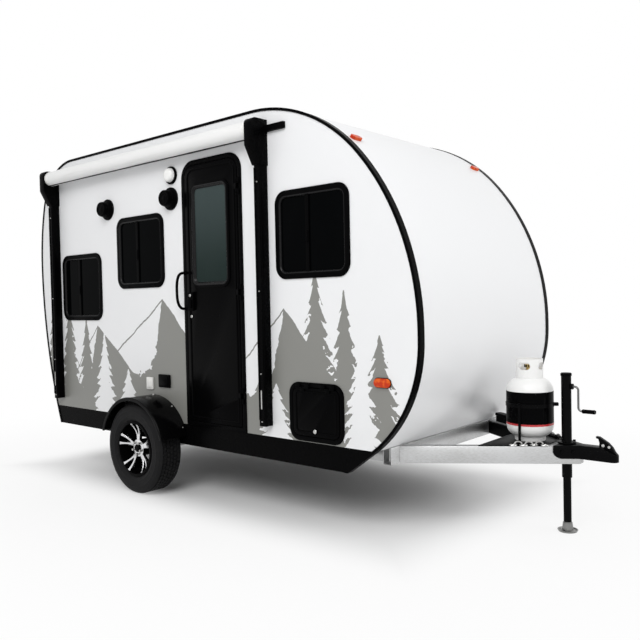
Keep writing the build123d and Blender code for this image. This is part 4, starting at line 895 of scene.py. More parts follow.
def lathe(
    centre: Vector, axis: Vector, profile: Iterable[tuple[float, float]], count: int = 48
) -> list[Loop]:
    """Loops of a turned shape from (radius, height) pairs."""
    least = 1e-4
    return [circle(centre + axis * up, axis, max(radius, least), count) for radius, up in profile]


def spoke(angle: float) -> Vector:
    """Unit vector at an angle in the upright plane, from ahead to up."""
    return Vector((math.cos(angle), 0.0, math.sin(angle)))


def bearing(angle: float) -> Vector:
    """Unit vector at an angle on the ground, from ahead to the left."""
    return Vector((math.cos(angle), math.sin(angle), 0.0))


def rounded(width: float, height: float, radius: float, steps: int = 7) -> Flat:
    """Outline of a rectangle with round corners, about its centre."""
    points = []
    for quarter, (sx, sz) in enumerate(((1, 1), (-1, 1), (-1, -1), (1, -1))):
        for step in range(steps + 1):
            angle = math.pi / 2 * (quarter + step / steps)
            points.append((
                sx * (width / 2 - radius) + radius * math.cos(angle),
                sz * (height / 2 - radius) + radius * math.sin(angle),
            ))
    return points


def arch(width: float, low: float, high: float, radius: float, steps: int = 9) -> Flat:
    """Outline of an upright panel with two round top corners, about its own X."""
    points = [(-width / 2, low), (width / 2, low)]
    for quarter, sx in enumerate((1, -1)):
        for step in range(steps + 1):
            angle = math.pi / 2 * (quarter + step / steps)
            points.append((
                sx * (width / 2 - radius) + radius * math.cos(angle),
                high - radius + radius * math.sin(angle),
            ))
    return points


def wall_y(side: SideOf) -> float:
    """Y of a side wall's outer face."""
    return outer_y(f"side_wall_{side.label}", side)


def on_wall(side: SideOf, flat: Flat, out: float, x: float = 0.0, z: float = 0.0) -> Loop:
    """Set a flat outline on a side wall, proud of it by out."""
    y = wall_y(side) + side.value * out
    return [Vector((x + across, y, z + up)) for across, up in flat]


def wall_section(
    side: SideOf, size: tuple[float, float], corner: float, section: Profile, x: float, z: float,
    proud: float = 0.0, steps: int = 7
) -> list[Loop]:
    """Loops of a rounded rectangle on a side wall, carried through a section.

    Args:
        side: The side wall.
        size: Width and height before any inset.
        corner: Corner radius before any inset.
        section: Inset and rise of each loop.
        x: Middle of the rectangle along the wall.
        z: Middle of the rectangle above the ground.
        proud: How far the section's base stands off the wall.
        steps: Straight runs in each corner.

    Returns:
        The loops, ready to be lofted.
    """
    loops = []
    for inset, rise in section:
        flat = rounded(size[0] - 2 * inset, size[1] - 2 * inset, corner - inset, steps)
        loops.append(on_wall(side, flat, proud + rise, x, z))
    return loops


def tube(path: Sequence[Vector], radius: float, count: int = 10) -> list[Loop]:
    """Round section carried along a path without twist."""
    loops, normal = [], None
    for index, point in enumerate(path):
        ahead = (path[min(index + 1, len(path) - 1)] - path[max(index - 1, 0)]).normalized()
        normal = ahead.orthogonal() if normal is None else normal - ahead * normal.dot(ahead)
        normal = normal.normalized()
        side = ahead.cross(normal)
        steps = [math.tau * step / count for step in range(count)]
        loops.append([point + radius * (math.cos(a) * normal + math.sin(a) * side) for a in steps])
    return loops


def centre_of(node: str) -> Vector:
    """Middle of a CAD node's box."""
    low, high = box(node)
    return (low + high) / 2


def outer_y(node: str, side: SideOf) -> float:
    """Y of a CAD node's face on a side."""
    low, high = box(node)
    return high.y if side is SideOf.LEFT else low.y


class Unit(Enum):
    """The small thing that a spread repeats."""

    SCREW = "screw"
    NUT = "nut"
    BLOCK = "block"
    LINK = "link"


@dataclass(frozen=True)
class Spot:
    """Where one unit stands: its place, the way it faces and the way its length runs."""

    place: Vector
    out: Vector
    along: Vector


@dataclass
class Spread:
    """A Geometry Nodes tree that stands one unit on every point of a mesh."""

    unit: Unit
    size: Vector
    sides: int = 12

    def tree(self) -> bpy.types.GeometryNodeTree:
        """Build the tree with its Size and Finish inputs."""
        tree = bpy.data.node_groups.new(f"{self.unit.value}_spread", "GeometryNodeTree")
        face = tree.interface
        face.new_socket("Geometry", in_out="INPUT", socket_type="NodeSocketGeometry")
        face.new_socket("Size", in_out="INPUT", socket_type="NodeSocketVector")
        face.new_socket("Finish", in_out="INPUT", socket_type="NodeSocketMaterial")
        face.new_socket("Geometry", in_out="OUTPUT", socket_type="NodeSocketGeometry")

        def node(
            kind: str, settings: Optional[dict] = None, values: Optional[dict] = None
        ) -> bpy.types.Node:
            """Add one node: settings, then socket values or links."""
            made = tree.nodes.new(kind)
            for key, value in (settings or {}).items():
                setattr(made, key, value)
            for key, value in (values or {}).items():
                if isinstance(value, bpy.types.NodeSocket):
                    tree.links.new(value, made.inputs[key])
                else:
                    made.inputs[key].default_value = value
            return made

        given = node("NodeGroupInput")
        turn = None
        for name, axis in (("out", "Z"), ("along", "X")):
            way = node("GeometryNodeInputNamedAttribute", {"data_type": "FLOAT_VECTOR"}, {"Name": name})
            values = {"Vector": way.outputs["Attribute"]}
            if turn is not None:
                values["Rotation"] = turn.outputs[0]
            settings = {"axis": axis, "pivot_axis": "AUTO" if turn is None else "Z"}
            turn = node("FunctionNodeAlignRotationToVector", settings, values)
        stood = node("GeometryNodeInstanceOnPoints", values={
            "Points": given.outputs["Geometry"],
            "Instance": self.model(node),
            "Rotation": turn.outputs[0],
            "Scale": given.outputs["Size"],
        })
        real = node("GeometryNodeRealizeInstances", values={"Geometry": stood.outputs[0]})
        dressed = node("GeometryNodeSetMaterial", values={
            "Geometry": real.outputs[0],
            "Material": given.outputs["Finish"],
        })
        node("NodeGroupOutput", values={"Geometry": dressed.outputs[0]})
        return tree

    def model(self, node: Callable[..., bpy.types.Node]) -> bpy.types.NodeSocket:
        """Unit-sized model of the repeated thing, standing on its point."""
        if self.unit is Unit.BLOCK:
            return node("GeometryNodeMeshCube", values={"Size": (1.0, 1.0, 1.0)}).outputs["Mesh"]
        if self.unit is Unit.LINK:
            path = node("GeometryNodeCurvePrimitiveCircle", values={"Resolution": 16, "Radius": 0.5})
            wire = node("GeometryNodeCurvePrimitiveCircle", values={"Resolution": 6, "Radius": 0.13})
            sweep = node("GeometryNodeCurveToMesh", values={
                "Curve": path.outputs["Curve"],
                "Profile Curve": wire.outputs["Curve"],
            })
            return sweep.outputs["Mesh"]
        sides = 6 if self.unit is Unit.NUT else self.sides
        top = 0.40 if self.unit is Unit.NUT else 0.32
        head = node("GeometryNodeMeshCone", values={
            "Vertices": sides, "Radius Top": top, "Radius Bottom": 0.5, "Depth": 1.0,
        })
        return head.outputs["Mesh"]

    def piece(self, name: str, body: str, finish: Finish, spots: Sequence[Spot]) -> bpy.types.Object:
        """Stand the unit on every spot and settle the result as one piece.

        Args:
            name: The piece's name.
            body: The body it rides on.
            finish: The finish of every unit.
            spots: Where the units stand.

        Returns:
            The piece's object.
        """
        mesh = bpy.data.meshes.new(name)
        mesh.from_pydata([spot.place for spot in spots], [], [])
        for key in ("out", "along"):
            layer = mesh.attributes.new(key, "FLOAT_VECTOR", "POINT")
            layer.data.foreach_set("vector", [value for spot in spots for value in getattr(spot, key)])
        source = bpy.data.objects.new(name, mesh)
        bpy.context.scene.collection.objects.link(source)
        spread = source.modifiers.new("spread", "NODES")
        spread.node_group = self.tree()
        names = {item.name: item.identifier for item in spread.node_group.interface.items_tree
                 if item.in_out == "INPUT"}
        spread[names["Size"]] = self.size
        spread[names["Finish"]] = finish.material()
        source.name = f"{name}_points"
        made = evaluated(source)
        for key in ("out", "along"):
            if key in made.attributes:
                made.attributes.remove(made.attributes[key])
        made.name = name
        return settle(name, made, body, (finish,))


def screws_on_wall(places: Iterable[tuple[float, float, float]], side: SideOf) -> list[Spot]:
    """Spots facing out of a side wall, from (x, z, out) places."""
    y = wall_y(side)
    return [
        Spot(Vector((x, y + side.value * proud, z)), side.out, AHEAD) for x, z, proud in places
    ]


@dataclass(frozen=True)
class Softened:
    """One CAD node shown with its edges rounded."""

    node: str
    finish: Finish
    width: float
    body: str = TRAILER
    segments: int = 2
    second: Optional[Finish] = None
    second_from: Optional[Callable[[Vector], bool]] = None

    def mesh(self) -> bpy.types.Mesh:
        """Merged copy of the node with a bevel along its sharp edges."""
        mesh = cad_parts[self.node].data.copy()
        work = bmesh.new()
        work.from_mesh(mesh)
        bmesh.ops.remove_doubles(work, verts=work.verts, dist=1e-6)
        flat = math.radians(0.5)
        bmesh.ops.dissolve_limit(work, angle_limit=flat, verts=work.verts, edges=work.edges)
        work.to_mesh(mesh)
        work.free()
        source = bpy.data.objects.new(f"{self.node}_soft", mesh)
        bpy.context.scene.collection.objects.link(source)
        bevel = source.modifiers.new("bevel", "BEVEL")
        bevel.width = self.width
        bevel.segments = self.segments
        bevel.limit_method = "ANGLE"
        bevel.angle_limit = math.radians(32.0)
        return evaluated(source)

    def build(self) -> bpy.types.Object:
        """Settle the rounded copy in the node's place, with its second finish where it has one."""
        mesh = self.mesh()
        finishes = (self.finish,)
        if self.second is not None:
            finishes += (self.second,)
            for face in mesh.polygons:
                face.material_index = int(self.second_from(face.center))
        return settle(f"{self.node}_rounded", mesh, self.body, finishes, (self.node,), 40.0)


def on_black_cover(place: Vector) -> bool:
    """Whether a place on the outlet covers is on the right wall's front one, which is black."""
    black_from = -0.70
    return place.y < 0.0 and place.x > black_from


SOFTENED = (
    Softened("entry_door", DOOR, 0.005, "door"),
    Softened("door_latch", PLASTIC, 0.004, "door"),
    Softened("door_frame", TRIM, 0.003),
    Softened("hatch_door", DOOR, 0.006, "hatch"),
    Softened("hatch_frame", PLASTIC, 0.003),
    Softened("window_frames_right", PLASTIC, 0.0035),
    Softened("window_frames_left", PLASTIC, 0.0035),
    Softened("awning_arm_front", TRIM, 0.007, segments=3),
    Softened("awning_arm_rear", TRIM, 0.007, segments=3),
    Softened("fender_right", FENDER, 0.0022),
    Softened("fender_left", FENDER, 0.0022),
    Softened("coupler", ENAMEL, 0.004),
    Softened("coupler_latch", ENAMEL, 0.003),
    Softened("jack_tube", ENAMEL, 0.002),
    Softened("outlet_covers", WHITE, 0.004, second=PLASTIC, second_from=on_black_cover),
    Softened("plate_holder", PLATE, 0.003),
    Softened("tail_lamps", RED, 0.012, segments=3),
    Softened("rear_clearance_lamps", RED, 0.006, segments=3),
    Softened("front_clearance_lamps", AMBER, 0.006, segments=3),
    Softened("roof_vent_base", WHITE, 0.003),
    Softened("roof_vent_lid", WHITE, 0.004, "vent_lid"),
    Softened("tank_tray", ENAMEL, 0.001),
    Softened("chassis", ALUMINIUM, 0.003),
    Softened("tongue_rail_right", ALUMINIUM, 0.003),
    Softened("tongue_rail_left", ALUMINIUM, 0.003),
)


@dataclass
class Windows:
    """Rubber gaskets, pane catches and drain caps of the side windows."""

    size: tuple[float, float] = (0.590, 0.550)
    corner: float = 0.084
    bar_shift: float = -0.028
    gasket: Profile = (
        (0.034, 0.0085), (0.037, 0.0092), (0.041, 0.007), (0.045, 0.002), (0.046, -0.004),
        (0.034, -0.004),
    )
    catch: tuple[float, float] = (0.016, 0.074)
    catch_drop: float = 0.02
    drain: tuple[float, float] = (0.040, 0.009)
    drain_run: float = 0.16
    drain_rise: float = 0.016
    stations: dict[SideOf, tuple[tuple[float, float], ...]] = field(default_factory=lambda: {
        SideOf.RIGHT: ((-1.700, 1.536), (-0.881, 1.782), (0.843, 1.795)),
        SideOf.LEFT: ((-1.700, 1.536), (0.843, 1.795)),
    })

    def gaskets(self, side: SideOf) -> None:
        """Rounded seal between each frame and its panes."""
        shape = Shape()
        for x, z in self.stations[side]:
            shape.loft(wall_section(side, self.size, self.corner, self.gasket, x, z), ring=True)
        shape.piece(f"window_gaskets_{side.label}", TRAILER, (GASKET,))

    def latches(self, side: SideOf) -> None:
        """Sliding-pane catch on each centre bar and drain caps under each frame."""
        drain_z = self.drain_rise - self.size[1] / 2
        shape = Shape()
        for x, z in self.stations[side]:
            for dx, dz, (width, height) in (
                (self.bar_shift, -self.catch_drop, self.catch),
                (-self.drain_run, drain_z, self.drain),
                (self.drain_run, drain_z, self.drain),
            ):
                flat = rounded(width, height, 0.004, 3)
                small = rounded(width - 0.006, height - 0.006, 0.0015, 3)
                shape.loft([
                    on_wall(side, outline, out, x + dx, z + dz)
                    for outline, out in ((flat, 0.006), (flat, 0.011), (small, 0.014))
                ])
        shape.piece(f"window_catches_{side.label}", TRAILER, (PLASTIC,))

    def build(self) -> None:
        """Make both sides."""
        for side in SideOf:
            self.gaskets(side)
            self.latches(side)


@dataclass
class EntryDoor:
    """Pane seal, panel bead, grab handle and locks of the entry door."""

    centre: float = -0.059
    leaf_width: float = 0.537
    leaf_low: float = 0.551
    leaf_high: float = 2.345
    leaf_corner: float = 0.085
    proud: float = 0.010
    glass: tuple[float, float, float, float] = (-0.069, 1.854, 0.340, 0.672)
    glass_corner: float = 0.042
    bead_section: Profile = (
        (0.022, -0.001), (0.024, 0.003), (0.030, 0.0045), (0.036, 0.003), (0.038, -0.001),
    )
    seal_section: Profile = (
        (-0.012, 0.0175), (-0.006, 0.0195), (0.0, 0.0175), (0.006, 0.010), (0.012, 0.003),
        (0.0, 0.002),
    )
    grip_radius: float = 0.010
    grip_steps: int = 32
    bow_powers: tuple[float, float] = (0.75, 0.62)
    lock_profile: Profile = (
        (0.011, -0.002), (0.011, 0.004), (0.009, 0.006), (0.003, 0.006), (0.003, 0.003), (0.0, 0.003),
    )
    paddle_depth: float = 0.013
    paddle_lock_drop: float = 0.022
    leaf_lock_drop: float = 0.040

    def bead(self) -> None:
        """Raised bead that runs round the leaf inside its edge."""
        loops = []
        for inset, up in self.bead_section:
            low, high = self.leaf_low + inset, self.leaf_high - inset
            flat = arch(self.leaf_width - 2 * inset, low, high, self.leaf_corner - inset)
            loops.append(on_wall(SideOf.RIGHT, flat, self.proud + up, self.centre))
        Shape().loft(loops, ring=True).piece("door_panel_bead", "door", (DOOR,))

    def pane_seal(self) -> None:
        """Moulded lip between the border and the pane."""
        x, z, *size = self.glass
        loops = wall_section(SideOf.RIGHT, size, self.glass_corner, self.seal_section, x, z)
        Shape().loft(loops, ring=True).piece("door_pane_seal", "door", (GASKET,))

    def handle(self) -> None:
        """Moulded grab handle: a bow on two feet."""
        low, high = box("grab_handle")
        x = (low.x + high.x) / 2
        foot = high.x - x
        bottom, top = low.z + foot, high.z - foot
        reach = high.y - low.y - self.grip_radius
        rise_power, out_power = self.bow_powers
        path = []
        for step in range(self.grip_steps + 1):
            angle = math.pi * step / self.grip_steps
            rise = -math.copysign(abs(math.cos(angle)) ** rise_power, math.cos(angle))
            out = math.sin(angle) ** out_power
            z = (bottom + top) / 2 + rise * (top - bottom) / 2
            path.append(Vector((x, high.y - reach * out, z)))
        shape = Shape().loft(tube(path, self.grip_radius, 16))
        seat = ((0.0, -0.001), (foot, -0.001), (foot, 0.004), (foot - 0.003, 0.007), (0.0, 0.007))
        for z in (bottom, top):
            shape.loft(lathe(Vector((x, high.y, z)), SideOf.RIGHT.out, seat, 28))
        shape.piece("door_grab_bow", TRAILER, (TRIM,), ("grab_handle",), crease=50.0)

    def locks(self) -> None:
        """One lock barrel in the latch paddle and one below it."""
        low, high = box("door_latch")
        x = (low.x + high.x) / 2
        shape = Shape()
        for seat in (
            Vector((x, low.y + self.paddle_depth, high.z - self.paddle_lock_drop)),
            Vector((x, wall_y(SideOf.RIGHT) - self.proud, low.z - self.leaf_lock_drop)),
        ):
            shape.loft(lathe(seat, SideOf.RIGHT.out, self.lock_profile, 20))
        shape.piece("door_locks", "door", (ZINC,))

    def build(self) -> None:
        """Make every door detail."""
        self.bead()
        self.pane_seal()
        self.handle()
        self.locks()


@dataclass
class StorageHatch:
    """Raised rim and lock of the storage hatch."""

    size: tuple[float, float] = (0.366, 0.296)
    corner: float = 0.045
    proud: float = 0.010
    bead_section: Profile = (
        (0.018, -0.001), (0.020, 0.003), (0.025, 0.004), (0.030, 0.003), (0.032, -0.001),
    )
    lock_rise: float = 0.034
    lock_seat: float = 0.007
    lock_profile: Profile = (
        (0.013, 0.0), (0.013, 0.004), (0.011, 0.0055), (0.003, 0.0055), (0.003, 0.003), (0.0, 0.003),
    )

    def build(self) -> None:
        """Raised rim around the leaf and the lock barrel."""
        middle = centre_of("hatch_frame")
        loops = wall_section(
            SideOf.RIGHT, self.size, self.corner, self.bead_section, middle.x, middle.z, self.proud
        )
        Shape().loft(loops, ring=True).piece("hatch_bead", "hatch", (DOOR,))
        z = middle.z - self.size[1] / 2 + self.lock_rise
        barrel = Vector((middle.x, wall_y(SideOf.RIGHT) - self.proud - self.lock_seat, z))
        turned = lathe(barrel, SideOf.RIGHT.out, self.lock_profile, 24)
        Shape().loft(turned).piece("hatch_lock", "hatch", (ZINC,))


@dataclass
class Fittings:
    """Speakers, porch light and marker lamps on the side walls."""

    speaker_profile: Profile = (
        (0.0, 0.0), (0.082, 0.0), (0.082, 0.009), (0.078, 0.014), (0.066, 0.0145), (0.0635, 0.018),
        (0.0625, 0.030), (0.0605, 0.031), (0.0605, 0.034), (0.0615, 0.035), (0.060, 0.046),
        (0.058, 0.047), (0.058, 0.050), (0.059, 0.051), (0.057, 0.066), (0.053, 0.072), (0.047, 0.072),
        (0.045, 0.068), (0.036, 0.067), (0.034, 0.070), (0.030, 0.070), (0.028, 0.067), (0.019, 0.067),
        (0.017, 0.070), (0.012, 0.0705), (0.0, 0.071),
    )
    base_profile: Profile = (
        (0.0, 0.0), (0.064, 0.0), (0.064, 0.011), (0.061, 0.016), (0.053, 0.017), (0.050, 0.014),
        (0.0, 0.014),
    )
    lens_profile: Profile = (
        (0.0, 0.012), (0.0515, 0.012), (0.0505, 0.026), (0.047, 0.036), (0.040, 0.044), (0.028, 0.048),
        (0.012, 0.0495), (0.0, 0.050),
    )
    marker_base: float = 0.006
    marker_lens: Profile = (
        (0.003, 0.004), (0.003, 0.012), (0.006, 0.017), (0.012, 0.0195), (0.020, 0.0205),
    )
    round_steps: int = 56

    def speakers(self) -> None:
        """Turned speaker housings with ringed grilles."""
        low, high = box("speakers")
        radius = self.speaker_profile[1][0]
        z = (low.z + high.z) / 2
        shape = Shape()
        for x in (low.x + radius, high.x - radius):
            seat = Vector((x, wall_y(SideOf.RIGHT), z))
            shape.loft(lathe(seat, SideOf.RIGHT.out, self.speaker_profile, self.round_steps))
        shape.piece("speaker_housings", TRAILER, (PLASTIC,), ("speakers",))

    def porch_light(self) -> None:
        """Black ring and opal dome."""
        middle = centre_of("porch_light")
        seat = Vector((middle.x, wall_y(SideOf.RIGHT), middle.z))
        shape = Shape()
        for mark, profile in ((1, self.lens_profile), (0, self.base_profile)):
            shape.loft(lathe(seat, SideOf.RIGHT.out, profile, self.round_steps), mark=mark)
        shape.piece("porch_lamp", TRAILER, (TRIM, OPAL), ("porch_light",))

    def markers(self) -> None:
        """Amber side markers on black bases."""
        low, high = box("side_markers")
        size = (high.x - low.x, high.z - low.z)
        x, z = (low.x + high.x) / 2, (low.z + high.z) / 2
        corner = size[1] / 2 - 0.001
        shape = Shape()
        for side in SideOf:
            base = rounded(*size, corner, 8)
            shape.loft([on_wall(side, base, out, x, z) for out in (0.0, self.marker_base)])
            shape.loft(wall_section(side, size, corner, self.marker_lens, x, z, steps=8), mark=1)
        shape.piece("marker_lamps", TRAILER, (TRIM, AMBER), ("side_markers",))

    def build(self) -> None:
        """Make every fitting."""
        self.speakers()
        self.porch_light()
        self.markers()


@dataclass
class Awning:
    """Rolled cloth, its rail, and the hardware on the arms."""

    sag: float = 0.0025
    waves: float = 23.0
    stations: int = 26
    core: float = 0.94
    end_gap: float = 0.030
    hem: float = 0.004
    bar_depth: float = 0.020
    bar_height: float = 0.0045
    bar_shift: float = 0.010
    arm_middle: float = 0.033
    arm_face: float = 0.070
    rib: tuple[float, float] = (0.009, 1.60)
    rib_shift: float = 0.019
    rib_rise: float = 0.84
    slot: tuple[float, float] = (0.009, 0.120)
    slot_rise: float = 0.17
    screw_rises: tuple[float, ...] = (0.030, 0.335, 0.86, 1.55)

    def roll(self) -> None:
        """Cloth roll with slack turns, between two end caps."""
        low, high = box("awning_roll")
        radius = (high.z - low.z) / 2
        start = Vector((low.x, (low.y + high.y) / 2, (low.z + high.z) / 2))
        length = high.x - low.x
        edge = self.end_gap + self.hem
        profile = [(0.0, self.end_gap), (radius * self.core, self.end_gap)]
        for step in range(self.stations + 1):
            share = step / self.stations
            slack = self.sag * (0.5 + 0.5 * math.cos(share * self.waves)) * math.sin(math.pi * share)
            profile.append((radius - slack, edge + share * (length - 2 * edge)))
        profile += [(radius * self.core, length - self.end_gap), (0.0, length - self.end_gap)]
        shape = Shape().loft(lathe(start, AHEAD, profile, 48))
        cap = (
            (0.0, 0.0), (radius * 0.97, 0.0), (radius, 0.003), (radius, 0.026), (radius * 0.9, 0.031),
            (0.0, 0.031),
        )
        for at, way in ((0.0, AHEAD), (length, REARWARD)):
            shape.loft(lathe(start + AHEAD * at, way, cap, 48), mark=1)
        shape.piece("awning_cloth_roll", TRAILER, (CLOTH, WHITE), ("awning_roll",))

    def rail(self) -> None:
        """The cloth's lead bar, held under the roll."""
        low, high = box("awning_roll")
        y, z = (low.y + high.y) / 2 - self.bar_shift, low.z + self.bar_height / 2
        flat = rounded(self.bar_depth, self.bar_height, 0.0018, 3)
        loops = [[Vector((x, y + across, z + up)) for across, up in flat] for x in (low.x, high.x)]
        Shape().loft(loops).piece("awning_lead_bar", TRAILER, (TRIM,))

    def arm_hardware(self) -> None:
        """Cover ribs, screws and the pull slot on each arm."""
        ribs, spots, slots = Shape(), [], Shape()
        rib, slot = rounded(*self.rib, 0.0035, 3), rounded(*self.slot, 0.0042, 4)
        for name in ("front", "rear"):
            low, _ = box(f"awning_arm_{name}")
            x = low.x + self.arm_middle
            for shape, flat, across, rise, sunk, proud in (
                (ribs, rib, -self.rib_shift, self.rib_rise, 0.002, 0.0045),
                (ribs, rib, self.rib_shift, self.rib_rise, 0.002, 0.0045),
                (slots, slot, 0.0, self.slot_rise, 0.001, 0.004),
            ):
                shape.loft([
                    on_wall(SideOf.RIGHT, flat, self.arm_face + out, x + across, low.z + rise)
                    for out in (-sunk, proud)
                ])
            spots += [(x, low.z + up, self.arm_face) for up in self.screw_rises]
        ribs.piece("awning_arm_ribs", TRAILER, (TRIM,))
        slots.piece("awning_pull_slots", TRAILER, (ZINC,))
        heads = Spread(Unit.SCREW, Vector((0.011, 0.011, 0.005)))
        heads.piece("awning_screws", TRAILER, ZINC, screws_on_wall(spots, SideOf.RIGHT))

    def build(self) -> None:
        """Make the whole awning."""
        self.roll()
        self.rail()
        self.arm_hardware()


@dataclass
class Wheel:
    """Tyre, alloy rim, nuts and cap of one wheel."""

    side: SideOf
    tread_rows: tuple[float, ...] = (-0.059, -0.0295, 0.0, 0.0295, 0.059)
    blocks: int = 66
    groove: float = 0.0075
    nut_circle: float = 0.046
    spokes: int = 5
    hub_face: float = 0.053
    stem_place: tuple[float, float, float] = (0.94, 0.174, 0.055)
    spoke_depth: Span = (0.044, 0.075)
    facing: float = 0.35
    flare: tuple[tuple[float, float, float, float], ...] = (
        (0.100, 0.0105, 0.0070, 0.053), (0.125, 0.0185, 0.0072, 0.058), (0.150, 0.0264, 0.0078, 0.069),
        (0.168, 0.0322, 0.0090, 0.080), (0.176, 0.0350, 0.0115, 0.086), (0.182, 0.0368, 0.0130, 0.089),
    )

    @property
    def body(self) -> str:
        """The wheel's body."""
        return f"wheel_{self.side.label}"

    @property
    def hub(self) -> Vector:
        """Wheel centre."""
        return centre_of(f"tyre_{self.side.label}")

    @property
    def axis(self) -> Vector:
        """Outward axle direction."""
        return self.side.out

    def tyre(self) -> None:
        """Carcass with ribbed side walls and a grooved crown."""
        node = f"tyre_{self.side.label}"
        low, high = box(node)
        top = (high.z - low.z) / 2
        half = (
            (0.192, 0.070), (0.192, 0.085), (0.206, 0.0858), (0.210, 0.0885), (0.2125, 0.0885),
            (0.215, 0.0905), (0.226, 0.0965), (0.232, 0.0985), (0.2335, 0.0997), (0.2365, 0.1003),
            (0.238, 0.0998), (0.250, 0.1016), (0.262, 0.1022), (0.274, 0.1016), (0.2755, 0.1022),
            (0.279, 0.1016), (0.2805, 0.1004), (0.292, 0.0984), (0.302, 0.0955), (0.3055, 0.0945),
            (0.308, 0.0915), (0.316, 0.0880), (0.3215, 0.0830), (top - 0.0030, 0.0770),
            (top - self.groove, 0.0745), (top - self.groove, 0.0),
        )
        profile = [*half, *((radius, -across) for radius, across in reversed(half[:-1]))]
        shape = Shape().loft(lathe(self.hub, self.axis, profile, 120), ring=True)
        shape.piece(f"{node}_carcass", self.body, (RUBBER,), (node,), crease=28.0)

    def tread(self) -> None:
        """Tread blocks in staggered rows round the crown."""
        low, high = box(f"tyre_{self.side.label}")
        top = (high.z - low.z) / 2
        height = self.groove + 0.002
        spots = []
        for row, across in enumerate(self.tread_rows):
            odd = row % 2
            for step in range(self.blocks):
                angle = math.tau * (step + 0.5 * odd) / self.blocks
                out = spoke(angle)
                place = self.hub + out * (top - height / 2 - 0.0004) + self.axis * across
                along = Vector((-math.sin(angle), 0.22 * (1 - odd * 2), math.cos(angle))).normalized()
                spots.append(Spot(place, out, along))
        block = Vector((math.tau * top / self.blocks * 0.80, 0.0235, height))
        Spread(Unit.BLOCK, block).piece(f"tyre_{self.side.label}_tread", self.body, RUBBER, spots)

    def rim(self) -> None:
        """Machined spoke faces between black pockets, in a black barrel."""
        node = f"rim_{self.side.label}"
        mesh = Softened(node, ALLOY, 0.0022, self.body).mesh()
        for face in mesh.polygons:
            depth = (face.center - self.hub).dot(self.axis)
            outward = face.normal.dot(self.axis)
            bright = outward > self.facing and self.spoke_depth[0] < depth < self.spoke_depth[1]
            face.material_index = 0 if bright else 1
        settle(f"{node}_machined", mesh, self.body, (ALLOY, POCKET), (node,), 40.0)

    def spoke_ends(self) -> None:
        """Flared ends that carry each forked spoke out to the lip, machined on top."""
        shape = Shape()
        base = self.spoke_depth[0]
        edge = 0.0015
        for step in range(self.spokes):
            angle = math.pi / 2 + math.tau * step / self.spokes
            out, beside = spoke(angle), spoke(angle + math.pi / 2)
            for fork in (-1, 1):
                sides, caps = [], []
                for reach, across, half, top in self.flare:
                    middle = self.hub + out * reach + beside * (fork * across)
                    under, brim, crown = top - 0.002, top - 0.001, half - edge
                    side = ((-half, base), (-half, brim), (half, brim), (half, base))
                    cap = ((-half, under), (-crown, top), (crown, top), (half, under))
                    for loops, flat in ((sides, side), (caps, cap)):
                        loops.append([middle + beside * a + self.axis * b for a, b in flat])
                shape.loft(sides, mark=1)
                shape.loft(caps)
        shape.piece(f"spoke_ends_{self.side.label}", self.body, (ALLOY, POCKET))

    def hardware(self) -> None:
        """Wheel nuts, centre cap and valve stem."""
        spots = []
        for step in range(self.spokes):
            way = spoke(math.tau * (step + 0.5) / self.spokes + math.pi / 2)
            place = self.hub + way * self.nut_circle + self.axis * (self.hub_face + 0.006)
            spots.append(Spot(place, self.axis, way))
        nuts = Spread(Unit.NUT, Vector((0.021, 0.021, 0.016)))
        nuts.piece(f"wheel_nuts_{self.side.label}", self.body, ZINC, spots)
        cap = (
            (0.0, 0.0), (0.030, 0.0), (0.030, 0.008), (0.027, 0.013), (0.022, 0.0145), (0.020, 0.0125),
            (0.012, 0.014), (0.0, 0.0145),
        )
        stem = (
            (0.0, 0.0), (0.0045, 0.0), (0.0045, 0.020), (0.006, 0.021), (0.006, 0.030), (0.0, 0.031),
        )
        angle, reach, out = self.stem_place
        seat = self.hub + spoke(angle) * reach + self.axis * out
        shape = Shape().loft(lathe(self.hub + self.axis * self.hub_face, self.axis, cap, 36))
        shape.loft(lathe(seat, self.axis, stem, 12))
        shape.piece(f"wheel_cap_{self.side.label}", self.body, (POCKET,))

    def build(self) -> None:
        """Make the wheel."""
        self.tyre()
        self.tread()
        self.rim()
        self.spoke_ends()
        self.hardware()


@dataclass
class Fenders:
    """Rolled edge and screws of the half-round fenders."""

    bead: float = 0.007
    bead_inset: float = 0.006
    steps: int = 40
    screw_angles: tuple[float, ...] = (0.45, 0.95, math.pi / 2, math.pi - 0.95, math.pi - 0.45)
    screw_out: float = 0.022

    def build(self) -> None:
        """Roll a bead along each outer edge and screw each arch to the wall."""
        for side in SideOf:
            low, high = box(f"fender_{side.label}")
            hub = centre_of(f"tyre_{side.label}")
            radius = high.z - hub.z - 0.004
            start = math.asin((low.z - hub.z + 0.002) / radius)
            edge = outer_y(f"fender_{side.label}", side) - side.value * self.bead_inset
            path = []
            for step in range(self.steps + 1):
                angle = start + (math.pi - 2 * start) * step / self.steps
                path.append(Vector((hub.x, edge, hub.z)) + spoke(angle) * radius)
            shape = Shape().loft(tube(path, self.bead, 10))
            shape.piece(f"fender_bead_{side.label}", TRAILER, (FENDER,))
            axle = Vector((hub.x, wall_y(side) + side.value * self.screw_out, hub.z))
            spots = []
            for out in map(spoke, self.screw_angles):
                spots.append(Spot(axle + out * (high.z - hub.z + 0.001), out, SideOf.LEFT.out))
            heads = Spread(Unit.SCREW, Vector((0.012, 0.012, 0.005)))
            heads.piece(f"fender_bolts_{side.label}", TRAILER, ZINC, spots)


